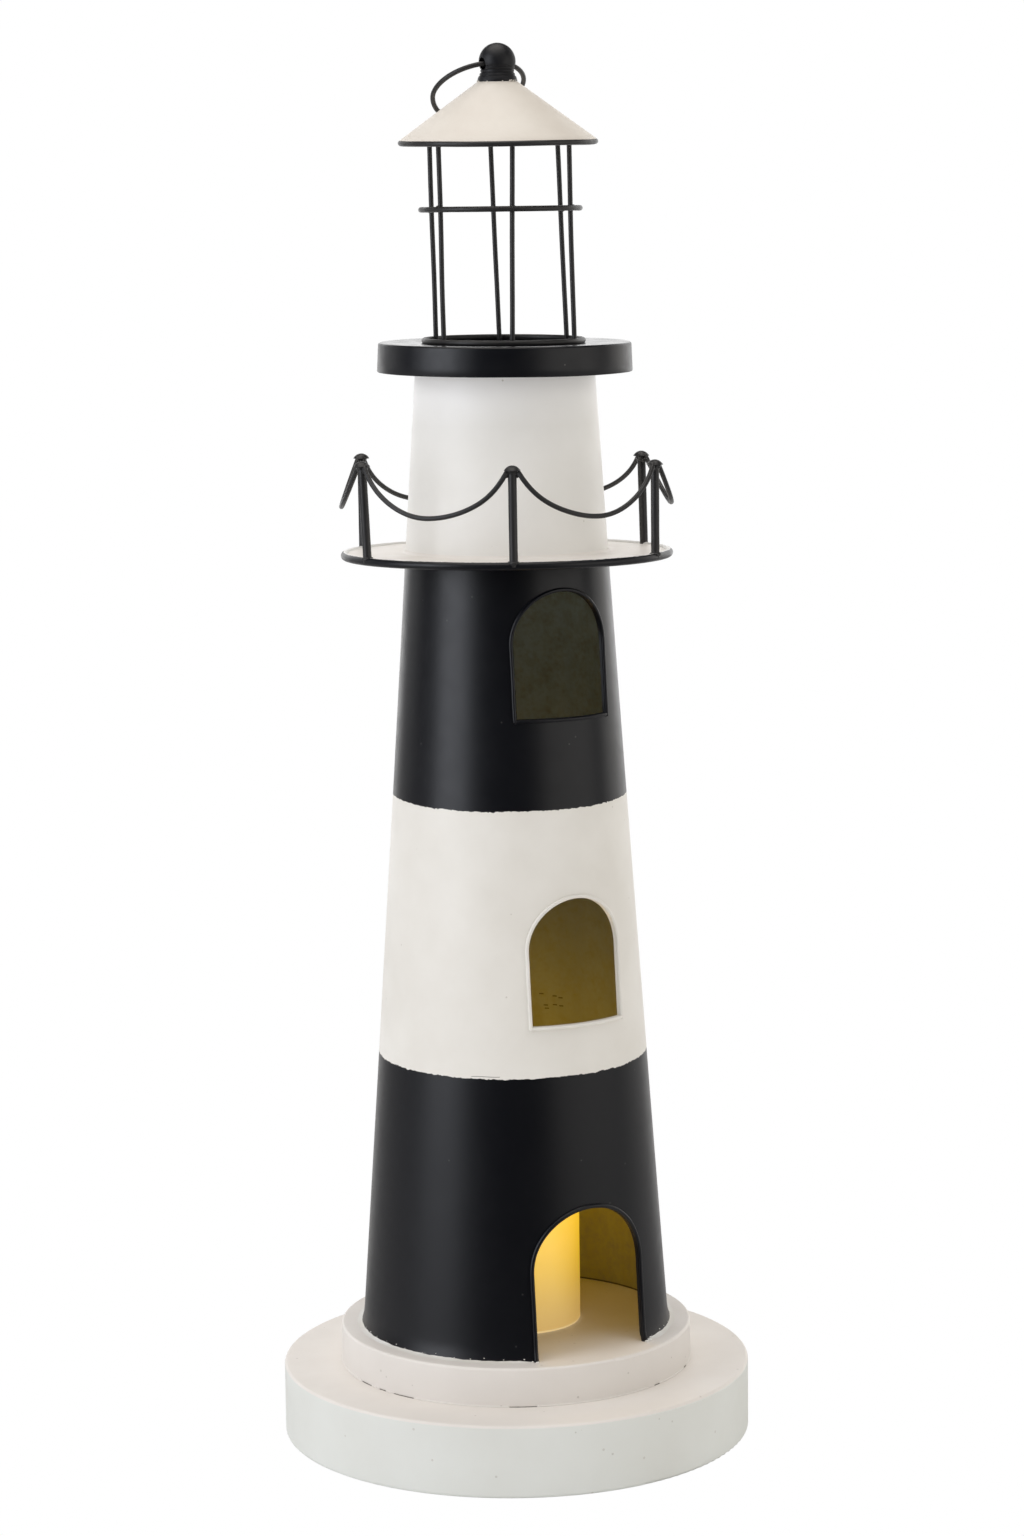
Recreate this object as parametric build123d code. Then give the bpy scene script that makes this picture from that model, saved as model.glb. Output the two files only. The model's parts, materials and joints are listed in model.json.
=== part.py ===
from build123d import *

import os
from math import asin, atan, cos, degrees, hypot, radians, sin, sqrt

# Lighted lighthouse ornament, in millimetres.
# The origin is the centre of the plinth's underside, +Z is up and the door faces -Y.

# Base of two round boards
plinth_diameter = 180.0
plinth_height = 27.5
plinth_round = 1.2
step_diameter = 135.2
step_height = 14.8
step_round = 1.0
step_joint_round = 0.5

# Tower of rolled sheet
tower_foot_diameter = 118.2
tower_top_diameter = 66.4
tower_height = 374.9
tower_wall = 1.0
filler_width = 2.2
filler_height = 1.8
filler_lip = 0.3

# Arched openings; sills are measured up from the tower's foot
door_width = 46.0
door_height = 55.3
door_wire = 1.9
lower_window_sill = 125.1
lower_window_width = 37.4
lower_window_height = 46.1
lower_window_wire = 1.7
upper_window_sill = 239.0
upper_window_width = 38.6
upper_window_height = 46.4
upper_window_wire = 1.7

# Gallery round the tower
gallery_rise = 297.9
gallery_diameter = 125.4
gallery_sheet = 1.2
gallery_rim_wire = 3.0
gallery_rim_drop = 0.75
post_count = 6
post_first_angle = -28.7
post_wire = 3.2
post_height = 36.2
post_sink = 0.45
cap_diameter = 5.9
cap_height = 1.8
cap_edge = 0.5
swag_wire = 2.0
swag_sag = 16.6
swag_gap = 0.2

# Deck under the lantern
deck_diameter = 95.7
deck_draft = 0.45
deck_depth = 11.7
deck_sheet = 1.0
deck_round = 1.0

# Lantern cage
lantern_diameter = 60.8
lantern_height = 73.7
bottom_ring_wire = 1.9
mid_ring_wire = 1.8
mid_ring_rise = 49.8
upright_count = 6
upright_first_angle = -22.0
upright_wire = 1.6

# Roof
roof_diameter = 74.4
roof_rise = 22.8
roof_sheet = 0.8
roof_rim_wire = 1.9
roof_lap = 0.35

# Finial and the ring that swings in it
finial_height = 14.1
finial_dome_diameter = 13.6
finial_neck_inset = 0.8
finial_flare = 0.55
finial_waist_inset = 0.2
finial_foot_edge = 0.8
groove_count = 3
groove_depth = 0.3
groove_pitch = 1.1
ring_hole_diameter = 4.0
ring_hole_rise = 5.9
ring_radius = 17.5
ring_wire = 1.8
ring_rest_gap = 0.3
finial_screw_reach = 3.0
washer_diameter = 9.0
washer_thickness = 0.8

# Candle with its lamp
candle_diameter = 50.0
candle_height = 100.0
candle_wall = 2.0
candle_recess = 6.0
candle_fit = 0.2
plug_height = 8.0
plug_screw_circle = 30.0
plug_screw_reach = 7.0
stem_diameter = 10.0
lead_hole_diameter = 6.0
lead_diameter = 1.2
lead_spacing = 2.8
board_diameter = 14.0
board_thickness = 1.6
led_diameter = 5.0
led_flange = 0.4
led_flange_height = 1.0
led_height = 8.6
flame_diameter = 11.0
flame_wall = 1.0
flame_skirt = 4.0
flame_height = 18.0
flame_tip = 0.8
flame_bend_rise = 4.5
flame_belly_share = 0.75

# Battery tray let into the plinth's underside
cell_diameter = 10.5
cell_length = 44.5
cell_nub_diameter = 3.8
cell_nub_height = 1.0
cell_gap = 0.5
spring_length = 4.0
spring_diameter = 7.0
spring_tip_diameter = 3.5
spring_wire = 0.9
contact_thickness = 0.5
contact_size = 8.0
tray_recess = 2.0
tray_wall = 2.0
tray_end = 8.0
tray_fit = 0.3
tray_screw_reach = 6.0
door_inset = 0.8
door_thickness = 2.0
door_gap = 0.3
door_notch_diameter = 10.0
door_pin_diameter = 1.5
door_pin_length = 1.5
door_pin_clearance = 0.05
door_socket_depth = 1.8
ledge_size = 1.2
ledge_gap = 0.1

# Slide switch beside the cells
switch_width = 6.0
switch_length = 12.0
switch_height = 5.0
slider_travel = 4.0
slider_base_width = 4.0
slider_base_length = 5.0
slider_base_thickness = 1.2
slider_gap = 0.2
knob_width = 3.0
knob_length = 3.5
knob_reach = 0.8

# Screws: shank, head diameter, head height
wood_screw = (4.0, 8.0, 2.6)
small_screw = (2.9, 5.5, 2.0)
machine_screw = (3.0, 5.6, 1.8)
screw_clearance = 0.2
pilot_clearance = 0.03
counterbore_depth = 6.0
base_screw_count = 3
base_screw_circle = 104.0
base_screw_reach = 9.0
cross_width = 0.9
cross_share = 0.6

# How far a cutting tool runs past the face it cuts
overrun = 1.0
BOTTOM = (Align.CENTER, Align.CENTER, Align.MIN)

# Heights of the stack
step_top_z = plinth_height + step_height
tower_top_z = step_top_z + tower_height
gallery_top_z = step_top_z + gallery_rise
gallery_rim_z = gallery_top_z - gallery_rim_drop
cap_top_z = gallery_top_z + post_height
cap_under_z = cap_top_z - cap_height
deck_top_z = tower_top_z + deck_sheet
roof_rim_z = deck_top_z + lantern_height
roof_top_z = roof_rim_z + roof_rise
hinge_z = roof_top_z + ring_hole_rise

# Radii that several pieces share
tower_foot_r = tower_foot_diameter / 2
tower_top_r = tower_top_diameter / 2
gallery_rim_r = (gallery_diameter - gallery_rim_wire) / 2
bottom_ring_r = (lantern_diameter - bottom_ring_wire) / 2
upright_r = bottom_ring_r - (bottom_ring_wire + upright_wire) / 2
mid_ring_r = upright_r + (upright_wire + mid_ring_wire) / 2
roof_rim_r = (roof_diameter - roof_rim_wire) / 2
dome_r = finial_dome_diameter / 2
neck_r = dome_r - finial_neck_inset
finial_foot_r = dome_r + finial_flare

# The roof's outer line, from its eave to its flat top
roof_eave_z = roof_rim_z + roof_rim_wire / 2 + roof_lap
roof_slope = (roof_top_z - roof_eave_z) / (roof_rim_r - finial_foot_r)
roof_drop = roof_sheet * hypot(1.0, roof_slope)

# The ring's wire bows through the hole, half to each side of the hinge axis
ring_bow = ring_radius - sqrt(ring_radius**2 - dome_r**2)
ring_centre = ring_radius - ring_bow / 2
ring_reach = ring_centre + ring_radius
hinge_over_roof = (hinge_z - roof_top_z - finial_foot_r * roof_slope) * cos(atan(roof_slope))
ring_lift = asin((ring_wire / 2 + ring_rest_gap - hinge_over_roof) / ring_reach)
ring_rest_angle = degrees(atan(roof_slope) - ring_lift)

# Levels inside the candle
candle_r = candle_diameter / 2
candle_inner_r = candle_r - candle_wall
candle_top_z = step_top_z + candle_height
recess_floor_z = candle_top_z - candle_recess
board_top_z = recess_floor_z - candle_wall - flame_skirt
board_under_z = board_top_z - board_thickness

# Tray layout: end block, cells, wall, switch bay, end block along X
cavity_length = spring_length + cell_length + contact_thickness + cell_gap
cavity_width = 2 * cell_diameter + 3 * cell_gap
cavity_depth = cell_diameter + cell_gap
bay_width = switch_width + 2 * tray_fit
bay_length = switch_length + 2 * tray_fit
tray_length = 2 * tray_end + cavity_length + tray_wall + bay_width
tray_width = cavity_width + 2 * tray_wall
door_under_z = tray_recess + door_inset
door_top_z = door_under_z + door_thickness
cell_z = door_top_z + door_gap + cavity_depth / 2
cavity_top_z = door_top_z + door_gap + cavity_depth
tray_top_z = cavity_top_z + tray_wall
cavity_x0 = tray_end - tray_length / 2
cavity_x1 = cavity_x0 + cavity_length
bay_x = cavity_x1 + tray_wall + bay_width / 2
cell_y = (cell_diameter + cell_gap) / 2
tray_screw_x = (tray_length - tray_end) / 2
bay_floor_z = tray_recess + tray_wall
door_hinge_y = -cavity_width / 2 + door_gap + door_thickness / 2
door_hinge_z = door_under_z + door_thickness / 2
slider_y = slider_travel / 2


def disc(radius, low, high):
    return Pos(0, 0, low) * Cylinder(radius, high - low, align=BOTTOM)


def block(x0, x1, y0, y1, z0, z1):
    return Pos(x0, y0, z0) * Box(x1 - x0, y1 - y0, z1 - z0, align=(Align.MIN, Align.MIN, Align.MIN))


def rod_x(radius, x0, x1, y, z):
    return Pos(x0, y, z) * Rot(0, 90, 0) * Cylinder(radius, x1 - x0, align=BOTTOM)


def wire_ring(radius, wire, z):
    return Pos(0, 0, z) * Torus(radius, wire / 2)


def turned(outline):
    return revolve(make_face(Plane.XZ * outline), Axis.Z)


def around(count, first_angle=0.0):
    return [first_angle + 360.0 * index / count for index in range(count)]


def at_angle(angle, radius):
    """Turn to an angle from the door's side, then step out by a radius."""
    return Rot(0, 0, angle) * Pos(0, -radius, 0)


def screw(kind, length):
    """A screw with its head's face at z = 0 and its shank pointing up."""
    shank, head, head_height = kind
    body = disc(head / 2, 0, head_height) + disc(shank / 2, head_height, head_height + length)
    arm = head * cross_share / 2
    half = cross_width / 2
    depth = head_height * cross_share
    cross = block(-arm, arm, -half, half, 0, depth) + block(-half, half, -arm, arm, 0, depth)
    return body - cross


def group(solids):
    return Compound(children=list(solids))


# Base boards


def base_screw_places():
    return [at_angle(angle, base_screw_circle / 2) for angle in around(base_screw_count)]


def tray_screw_places():
    return [Pos(-tray_screw_x, 0, 0), Pos(tray_screw_x, 0, 0)]


def plug_screw_places():
    return [at_angle(angle, plug_screw_circle / 2) for angle in around(2, 90.0)]


def base_plinth():
    board = disc(plinth_diameter / 2, 0, plinth_height)
    board = fillet(board.edges(), plinth_round)
    half_x = tray_length / 2 + tray_fit
    half_y = tray_width / 2 + tray_fit
    board -= block(-half_x, half_x, -half_y, half_y, -overrun, tray_top_z)
    board -= disc(lead_hole_diameter / 2, 0, plinth_height + overrun)
    shank, head, _ = wood_screw
    for place in base_screw_places():
        board -= place * disc(shank / 2 + screw_clearance, 0, plinth_height + overrun)
        board -= place * disc(head / 2 + screw_clearance, -overrun, counterbore_depth)
    pilot = small_screw[0] / 2 + pilot_clearance
    for place in tray_screw_places():
        board -= place * disc(pilot, tray_top_z, tray_top_z + tray_screw_reach)
    return board


def base_step():
    board = disc(step_diameter / 2, plinth_height, step_top_z)
    board = fillet(board.edges().sort_by(Axis.Z)[-1], step_round)
    board = fillet(board.edges().sort_by(Axis.Z)[0], step_joint_round)
    board -= disc(lead_hole_diameter / 2, plinth_height - overrun, step_top_z + overrun)
    pilot = wood_screw[0] / 2 + pilot_clearance
    for place in base_screw_places():
        board -= place * disc(pilot, plinth_height - overrun, plinth_height + base_screw_reach)
    pilot = small_screw[0] / 2 + pilot_clearance
    for place in plug_screw_places():
        board -= place * disc(pilot, step_top_z - plug_screw_reach, step_top_z + overrun)
    return board


def base_screws():
    head_z = counterbore_depth - wood_screw[2]
    length = plinth_height + base_screw_reach - counterbore_depth
    return group(place * Pos(0, 0, head_z) * screw(wood_screw, length) for place in base_screw_places())


# Tower


def tower_cone(outset=0.0):
    cone = Cone(tower_foot_r + outset, tower_top_r + outset, tower_height, align=BOTTOM)
    return Pos(0, 0, step_top_z) * cone


def arch_prism(width, sill, height, margin=0.0):
    """A round-headed prism from the axis out past the tower's front; sill is above the tower's foot."""
    half = width / 2 + margin
    low = step_top_z + sill - margin
    spring = step_top_z + sill + height - width / 2
    outline = Polyline((-half, spring), (-half, low), (half, low), (half, spring))
    outline += ThreePointArc((half, spring), (0, spring + half), (-half, spring))
    return extrude(make_face(Plane.XZ * outline), amount=tower_foot_diameter)


def door_prism(margin=0.0):
    return arch_prism(door_width, -overrun, door_height + overrun, margin)


def tower_shell():
    shell = tower_cone() - tower_cone(-tower_wall)
    shell -= door_prism()
    shell -= arch_prism(lower_window_width, lower_window_sill, lower_window_height)
    shell -= arch_prism(upper_window_width, upper_window_sill, upper_window_height)
    return shell


def opening_trim(outer_prism, inner_prism, wire):
    """The strip of wire that lies on the tower round an opening."""
    return (outer_prism - inner_prism) & (tower_cone(wire) - tower_cone())


def door_frame():
    return opening_trim(door_prism(door_wire), door_prism(), door_wire)


def window_frame(width, sill, height, wire):
    outer = arch_prism(width, sill, height, wire)
    return opening_trim(outer, arch_prism(width, sill, height), wire)


def foot_filler():
    top_r = tower_foot_r + filler_lip
    bead = Cone(tower_foot_r + filler_width, top_r, filler_height, align=BOTTOM)
    return Pos(0, 0, step_top_z) * bead - tower_cone() - door_prism(door_wire)


# Gallery


def gallery_rim():
    return wire_ring(gallery_rim_r, gallery_rim_wire, gallery_rim_z)


def gallery_plate():
    plate = disc(gallery_rim_r, gallery_top_z - gallery_sheet, gallery_top_z)
    return plate - tower_cone() - gallery_rim()


def gallery_post(angle):
    foot_z = gallery_rim_z + gallery_rim_wire / 2 - post_sink
    rod = disc(post_wire / 2, foot_z, cap_under_z)
    cap_r = cap_diameter / 2
    edge_z = cap_under_z + cap_edge
    dome = cap_top_z - edge_z
    sphere_r = (cap_r**2 + dome**2) / (2 * dome)
    middle_z = cap_top_z - sphere_r + sqrt(sphere_r**2 - (cap_r / 2) ** 2)
    outline = Polyline((0, cap_top_z), (0, cap_under_z), (cap_r, cap_under_z), (cap_r, edge_z))
    outline += ThreePointArc((cap_r, edge_z), (cap_r / 2, middle_z), (0, cap_top_z))
    post = rod + turned(outline)
    return at_angle(angle, gallery_rim_r) * post - gallery_rim()


def swag_point(angle, z):
    turn = radians(angle)
    return (gallery_rim_r * sin(turn), -gallery_rim_r * cos(turn), z)


def gallery_swag(start_angle):
    """A sagging wire from one post to the next, coped to both."""
    end_angle = start_angle + 360.0 / post_count
    top_z = cap_under_z - swag_gap - swag_wire / 2
    middle = swag_point((start_angle + end_angle) / 2, top_z - swag_sag)
    path = ThreePointArc(swag_point(start_angle, top_z), middle, swag_point(end_angle, top_z))
    section = Plane(origin=path @ 0, z_dir=path % 0) * Circle(swag_wire / 2)
    wire = sweep(section, path)
    for angle in (start_angle, end_angle):
        wire -= at_angle(angle, gallery_rim_r) * disc(post_wire / 2, gallery_rim_z, cap_under_z)
    return wire


# Deck and lantern


def deck_pan():
    low_z = deck_top_z - deck_depth
    low_r = deck_diameter / 2
    top_r = low_r - deck_draft
    pan = Pos(0, 0, low_z) * Cone(low_r, top_r, deck_depth, align=BOTTOM)
    pan = fillet(pan.edges().sort_by(Axis.Z)[-1], deck_round)
    hollow = Cone(low_r - deck_sheet, top_r - deck_sheet, deck_depth - deck_sheet, align=BOTTOM)
    return pan - Pos(0, 0, low_z) * hollow


def lantern_bottom_ring():
    return wire_ring(bottom_ring_r, bottom_ring_wire, deck_top_z + bottom_ring_wire / 2)


def lantern_mid_ring():
    return wire_ring(mid_ring_r, mid_ring_wire, deck_top_z + mid_ring_rise)


def roof_under_z(radius):
    """Height of the roof's underside at a radius."""
    return roof_top_z - (radius - finial_foot_r) * roof_slope - roof_drop


def under_roof():
    """All the room from the deck up to the roof's underside."""
    reach = roof_rim_r
    peak = roof_under_z(0)
    corners = [(0, deck_top_z), (reach, deck_top_z), (reach, roof_under_z(reach)), (0, peak)]
    return turned(Polyline(*corners, close=True))


def lantern_upright(angle):
    rod = at_angle(angle, upright_r) * disc(upright_wire / 2, deck_top_z, roof_top_z)
    return rod & under_roof()


# Roof, finial and ring


def roof_rim():
    return wire_ring(roof_rim_r, roof_rim_wire, roof_rim_z)


def roof_cone():
    hole_r = machine_screw[0] / 2 + screw_clearance
    flat_z = roof_top_z - roof_sheet
    flat_r = finial_foot_r - (roof_drop - roof_sheet) / roof_slope
    corners = [
        (hole_r, roof_top_z),
        (finial_foot_r, roof_top_z),
        (roof_rim_r, roof_eave_z),
        (roof_rim_r, roof_under_z(roof_rim_r)),
        (flat_r, flat_z),
        (hole_r, flat_z),
    ]
    return turned(Polyline(*corners, close=True)) - roof_rim()


def finial():
    centre_z = roof_top_z + finial_height - dome_r
    neck_z = centre_z - sqrt(dome_r**2 - neck_r**2)
    edge_z = roof_top_z + finial_foot_edge
    waist = ((neck_r + finial_foot_r) / 2 - finial_waist_inset, (neck_z + edge_z) / 2)
    top_z = roof_top_z + finial_height
    outline = Polyline((0, top_z), (0, roof_top_z), (finial_foot_r, roof_top_z), (finial_foot_r, edge_z))
    outline += ThreePointArc((finial_foot_r, edge_z), waist, (neck_r, neck_z))
    outline += ThreePointArc((neck_r, neck_z), (dome_r, centre_z), (0, top_z))
    knob = turned(outline)
    for index in range(groove_count):
        knob -= wire_ring(neck_r + groove_depth / 2, 2 * groove_depth, neck_z - index * groove_pitch)
    knob -= rod_x(ring_hole_diameter / 2, -finial_foot_r, finial_foot_r, 0, hinge_z)
    tapped = machine_screw[0] / 2 + pilot_clearance
    return knob - disc(tapped, roof_top_z - overrun, roof_top_z + finial_screw_reach)


def finial_washer():
    top_z = roof_top_z - roof_sheet
    hole = machine_screw[0] / 2 + screw_clearance
    low_z = top_z - washer_thickness
    return disc(washer_diameter / 2, low_z, top_z) - disc(hole, low_z - overrun, top_z + overrun)


def finial_screw():
    grip = washer_thickness + roof_sheet
    head_z = roof_top_z - grip - machine_screw[2]
    return Pos(0, 0, head_z) * screw(machine_screw, grip + finial_screw_reach)


def lift_ring():
    """The ring lies back on the roof's far slope, turned down about the hole's axis."""
    ring = Pos(0, ring_centre, 0) * Torus(ring_radius, ring_wire / 2)
    return Pos(0, 0, hinge_z) * Rot(-ring_rest_angle, 0, 0) * ring


# Candle and lamp


def candle_shell():
    shell = disc(candle_r, step_top_z, candle_top_z)
    shell -= disc(candle_inner_r, recess_floor_z, candle_top_z + overrun)
    shell -= disc(candle_inner_r, step_top_z - overrun, recess_floor_z - candle_wall)
    hole_r = flame_diameter / 2 + candle_fit
    return shell - disc(hole_r, board_top_z, candle_top_z)


def candle_plug():
    plug = disc(candle_inner_r - candle_fit, step_top_z, step_top_z + plug_height)
    plug += disc(stem_diameter / 2, step_top_z, board_under_z)
    plug -= disc(lead_hole_diameter / 2, step_top_z - overrun, board_under_z + overrun)
    hole = small_screw[0] / 2 + screw_clearance
    for place in plug_screw_places():
        plug -= place * disc(hole, step_top_z - overrun, step_top_z + plug_height + overrun)
    return plug


def plug_screws():
    head_z = step_top_z + plug_height + small_screw[2]
    turned_over = Pos(0, 0, head_z) * Rot(180, 0, 0) * screw(small_screw, plug_height + plug_screw_reach)
    return group(place * turned_over for place in plug_screw_places())


def led_board():
    return disc(board_diameter / 2, board_under_z, board_top_z)


def led():
    bulb_r = led_diameter / 2
    shoulder_z = board_top_z + led_height - bulb_r
    lamp = disc(bulb_r + led_flange, board_top_z, board_top_z + led_flange_height)
    lamp += disc(bulb_r, board_top_z, shoulder_z)
    return lamp + Pos(0, 0, shoulder_z) * Sphere(bulb_r)


def flame_solid(inset, top_z):
    """A straight skirt that runs up into a bowed tip."""
    radius = flame_diameter / 2 - inset
    tip = flame_tip / 2
    bend_z = recess_floor_z + flame_bend_rise
    belly = (flame_belly_share * radius, (bend_z + top_z) / 2)
    outline = Polyline((0, top_z), (0, board_top_z), (radius, board_top_z), (radius, bend_z))
    outline += ThreePointArc((radius, bend_z), belly, (tip, top_z))
    outline += Line((tip, top_z), (0, top_z))
    return turned(outline)


def flame_bulb():
    top_z = recess_floor_z + flame_height
    return flame_solid(0, top_z) - flame_solid(flame_wall, top_z - 2 * flame_wall)


def led_leads():
    lead = disc(lead_diameter / 2, tray_top_z, board_under_z)
    return group(Pos(side * lead_spacing / 2, 0, 0) * lead for side in (-1, 1))


# Battery tray


def battery_tray():
    half_x = tray_length / 2
    half_y = tray_width / 2
    tray = block(-half_x, half_x, -half_y, half_y, tray_recess, tray_top_z)
    mouth_y = cavity_width / 2
    tray -= block(cavity_x0, cavity_x1, -mouth_y, mouth_y, tray_recess - overrun, cavity_top_z)
    ledge_z = door_top_z + ledge_gap
    tray += block(cavity_x0, cavity_x1, mouth_y - ledge_size, mouth_y, ledge_z, ledge_z + ledge_size)
    socket_r = door_pin_diameter / 2 + door_pin_clearance
    socket_x0 = cavity_x0 - door_socket_depth
    socket_x1 = cavity_x1 + door_socket_depth
    tray -= rod_x(socket_r, socket_x0, socket_x1, door_hinge_y, door_hinge_z)
    bay_x0 = bay_x - bay_width / 2
    bay_half = bay_length / 2
    bay_top = tray_top_z + overrun
    tray -= block(bay_x0, bay_x0 + bay_width, -bay_half, bay_half, bay_floor_z, bay_top)
    slot_x = knob_width / 2 + tray_fit
    slot_y = (knob_length + slider_travel) / 2 + tray_fit
    slot_z = tray_recess - overrun
    tray -= block(bay_x - slot_x, bay_x + slot_x, -slot_y, slot_y, slot_z, bay_floor_z + overrun)
    shank, head, head_height = small_screw
    for place in tray_screw_places():
        tray -= place * disc(shank / 2 + screw_clearance, 0, tray_top_z + overrun)
        tray -= place * disc(head / 2 + screw_clearance, 0, tray_recess + head_height)
    return tray


def tray_screws():
    length = tray_top_z - tray_recess - small_screw[2] + tray_screw_reach
    body = Pos(0, 0, tray_recess) * screw(small_screw, length)
    return group(place * body for place in tray_screw_places())


def battery_door():
    x0 = cavity_x0 + door_gap
    x1 = cavity_x1 - door_gap
    free_y = cavity_width / 2 - door_gap
    door = block(x0, x1, door_hinge_y, free_y, door_under_z, door_top_z)
    door += rod_x(door_thickness / 2, x0, x1, door_hinge_y, door_hinge_z)
    pin_x0 = cavity_x0 - door_pin_length
    pin_x1 = cavity_x1 + door_pin_length
    door += rod_x(door_pin_diameter / 2, pin_x0, pin_x1, door_hinge_y, door_hinge_z)
    middle_x = (x0 + x1) / 2
    notch = disc(door_notch_diameter / 2, door_under_z - overrun, door_top_z + overrun)
    return door - Pos(middle_x, free_y, 0) * notch


def battery_cell(side):
    """Side -1 points its nub towards +X, side 1 towards -X."""
    body_r = cell_diameter / 2
    body_length = cell_length - cell_nub_height
    flat_x = cavity_x0 + spring_length if side < 0 else cavity_x1 - spring_length
    along = 1 if side < 0 else -1
    cell = Cylinder(body_r, body_length, align=BOTTOM)
    cell += Pos(0, 0, body_length) * Cylinder(cell_nub_diameter / 2, cell_nub_height, align=BOTTOM)
    return Pos(flat_x, side * cell_y, cell_z) * Rot(0, 90 * along, 0) * cell


def contact_springs():
    """A short coned sleeve stands for each coil, from the wall to the cell's flat end."""
    coil = Cone(spring_diameter / 2, spring_tip_diameter / 2, spring_length, align=BOTTOM)
    inner_wide = spring_diameter / 2 - spring_wire
    inner_narrow = spring_tip_diameter / 2 - spring_wire
    coil -= Cone(inner_wide, inner_narrow, spring_length, align=BOTTOM)
    near = Pos(cavity_x0, -cell_y, cell_z) * Rot(0, 90, 0) * coil
    far = Pos(cavity_x1, cell_y, cell_z) * Rot(0, -90, 0) * coil
    return group([near, far])


def contact_plates():
    half = contact_size / 2
    z0 = cell_z - half
    z1 = cell_z + half
    far = block(cavity_x1 - contact_thickness, cavity_x1, -cell_y - half, -cell_y + half, z0, z1)
    near = block(cavity_x0, cavity_x0 + contact_thickness, cell_y - half, cell_y + half, z0, z1)
    return group([near, far])


# Switch


def switch_body():
    half_x = switch_width / 2
    half_y = switch_length / 2
    body = block(bay_x - half_x, bay_x + half_x, -half_y, half_y, bay_floor_z, bay_floor_z + switch_height)
    channel_x = slider_base_width / 2 + tray_fit
    channel_y = (slider_base_length + slider_travel) / 2 + tray_fit
    channel_z = bay_floor_z + slider_base_thickness + 2 * slider_gap
    low_z = bay_floor_z - overrun
    return body - block(bay_x - channel_x, bay_x + channel_x, -channel_y, channel_y, low_z, channel_z)


def switch_slider():
    base_z = bay_floor_z + slider_gap
    half_x = slider_base_width / 2
    half_y = slider_base_length / 2
    base_top = base_z + slider_base_thickness
    slider = block(bay_x - half_x, bay_x + half_x, slider_y - half_y, slider_y + half_y, base_z, base_top)
    knob_x = knob_width / 2
    knob_y = knob_length / 2
    knob_z = tray_recess - knob_reach
    slider += block(bay_x - knob_x, bay_x + knob_x, slider_y - knob_y, slider_y + knob_y, knob_z, base_top)
    return slider


def nodes():
    parts = {
        "base_plinth": base_plinth(),
        "base_step": base_step(),
        "base_screws": base_screws(),
        "tower_shell": tower_shell(),
        "foot_filler": foot_filler(),
        "door_frame": door_frame(),
        "lower_window_frame": window_frame(
            lower_window_width, lower_window_sill, lower_window_height, lower_window_wire
        ),
        "upper_window_frame": window_frame(
            upper_window_width, upper_window_sill, upper_window_height, upper_window_wire
        ),
        "gallery_plate": gallery_plate(),
        "gallery_rim": gallery_rim(),
        "deck_pan": deck_pan(),
        "lantern_bottom_ring": lantern_bottom_ring(),
        "lantern_mid_ring": lantern_mid_ring(),
        "roof_cone": roof_cone(),
        "roof_rim": roof_rim(),
        "finial": finial(),
        "finial_washer": finial_washer(),
        "finial_screw": finial_screw(),
        "lift_ring": lift_ring(),
        "candle_shell": candle_shell(),
        "candle_plug": candle_plug(),
        "plug_screws": plug_screws(),
        "led_board": led_board(),
        "led": led(),
        "flame_bulb": flame_bulb(),
        "led_leads": led_leads(),
        "battery_tray": battery_tray(),
        "tray_screws": tray_screws(),
        "battery_door": battery_door(),
        "battery_cell_1": battery_cell(-1),
        "battery_cell_2": battery_cell(1),
        "contact_springs": contact_springs(),
        "contact_plates": contact_plates(),
        "switch_body": switch_body(),
        "switch_slider": switch_slider(),
    }
    for index, angle in enumerate(around(post_count, post_first_angle), 1):
        parts[f"gallery_post_{index}"] = gallery_post(angle)
        parts[f"gallery_swag_{index}"] = gallery_swag(angle)
    for index, angle in enumerate(around(upright_count, upright_first_angle), 1):
        parts[f"lantern_upright_{index}"] = lantern_upright(angle)
    return parts


os.makedirs("parts", exist_ok=True)
for name, solid in nodes().items():
    export_step(solid, f"parts/{name}.step")
print(f"ring rests {ring_rest_angle:.2f} degrees down, hinge at z {hinge_z:.2f}")
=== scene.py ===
import json
import math
from functools import cache

import bmesh
import bpy
from mathutils import Matrix, Quaternion, Vector, geometry, noise


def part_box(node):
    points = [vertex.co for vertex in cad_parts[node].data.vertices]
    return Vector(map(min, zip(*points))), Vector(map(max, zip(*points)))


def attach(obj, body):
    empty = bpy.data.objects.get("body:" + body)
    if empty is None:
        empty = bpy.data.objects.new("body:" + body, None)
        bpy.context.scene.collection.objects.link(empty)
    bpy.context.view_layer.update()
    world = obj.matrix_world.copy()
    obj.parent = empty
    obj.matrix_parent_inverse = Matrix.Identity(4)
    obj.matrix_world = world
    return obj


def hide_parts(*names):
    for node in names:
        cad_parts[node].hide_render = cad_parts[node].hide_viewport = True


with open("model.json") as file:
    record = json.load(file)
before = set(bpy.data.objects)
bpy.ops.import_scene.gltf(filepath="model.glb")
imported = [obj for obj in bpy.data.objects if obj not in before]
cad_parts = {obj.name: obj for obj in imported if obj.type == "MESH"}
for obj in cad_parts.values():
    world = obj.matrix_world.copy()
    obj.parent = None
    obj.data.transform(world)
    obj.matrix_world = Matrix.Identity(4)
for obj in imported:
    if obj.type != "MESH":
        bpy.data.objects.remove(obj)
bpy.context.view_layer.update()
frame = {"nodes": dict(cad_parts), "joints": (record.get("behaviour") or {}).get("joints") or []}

MM = 0.001
ROOT = "lighthouse"


# Sizes read from the frame

box = cache(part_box)


def low(name):
    return box(name)[0]


def high(name):
    return box(name)[1]


def middle(name):
    lowest, highest = box(name)
    return (lowest + highest) / 2


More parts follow.
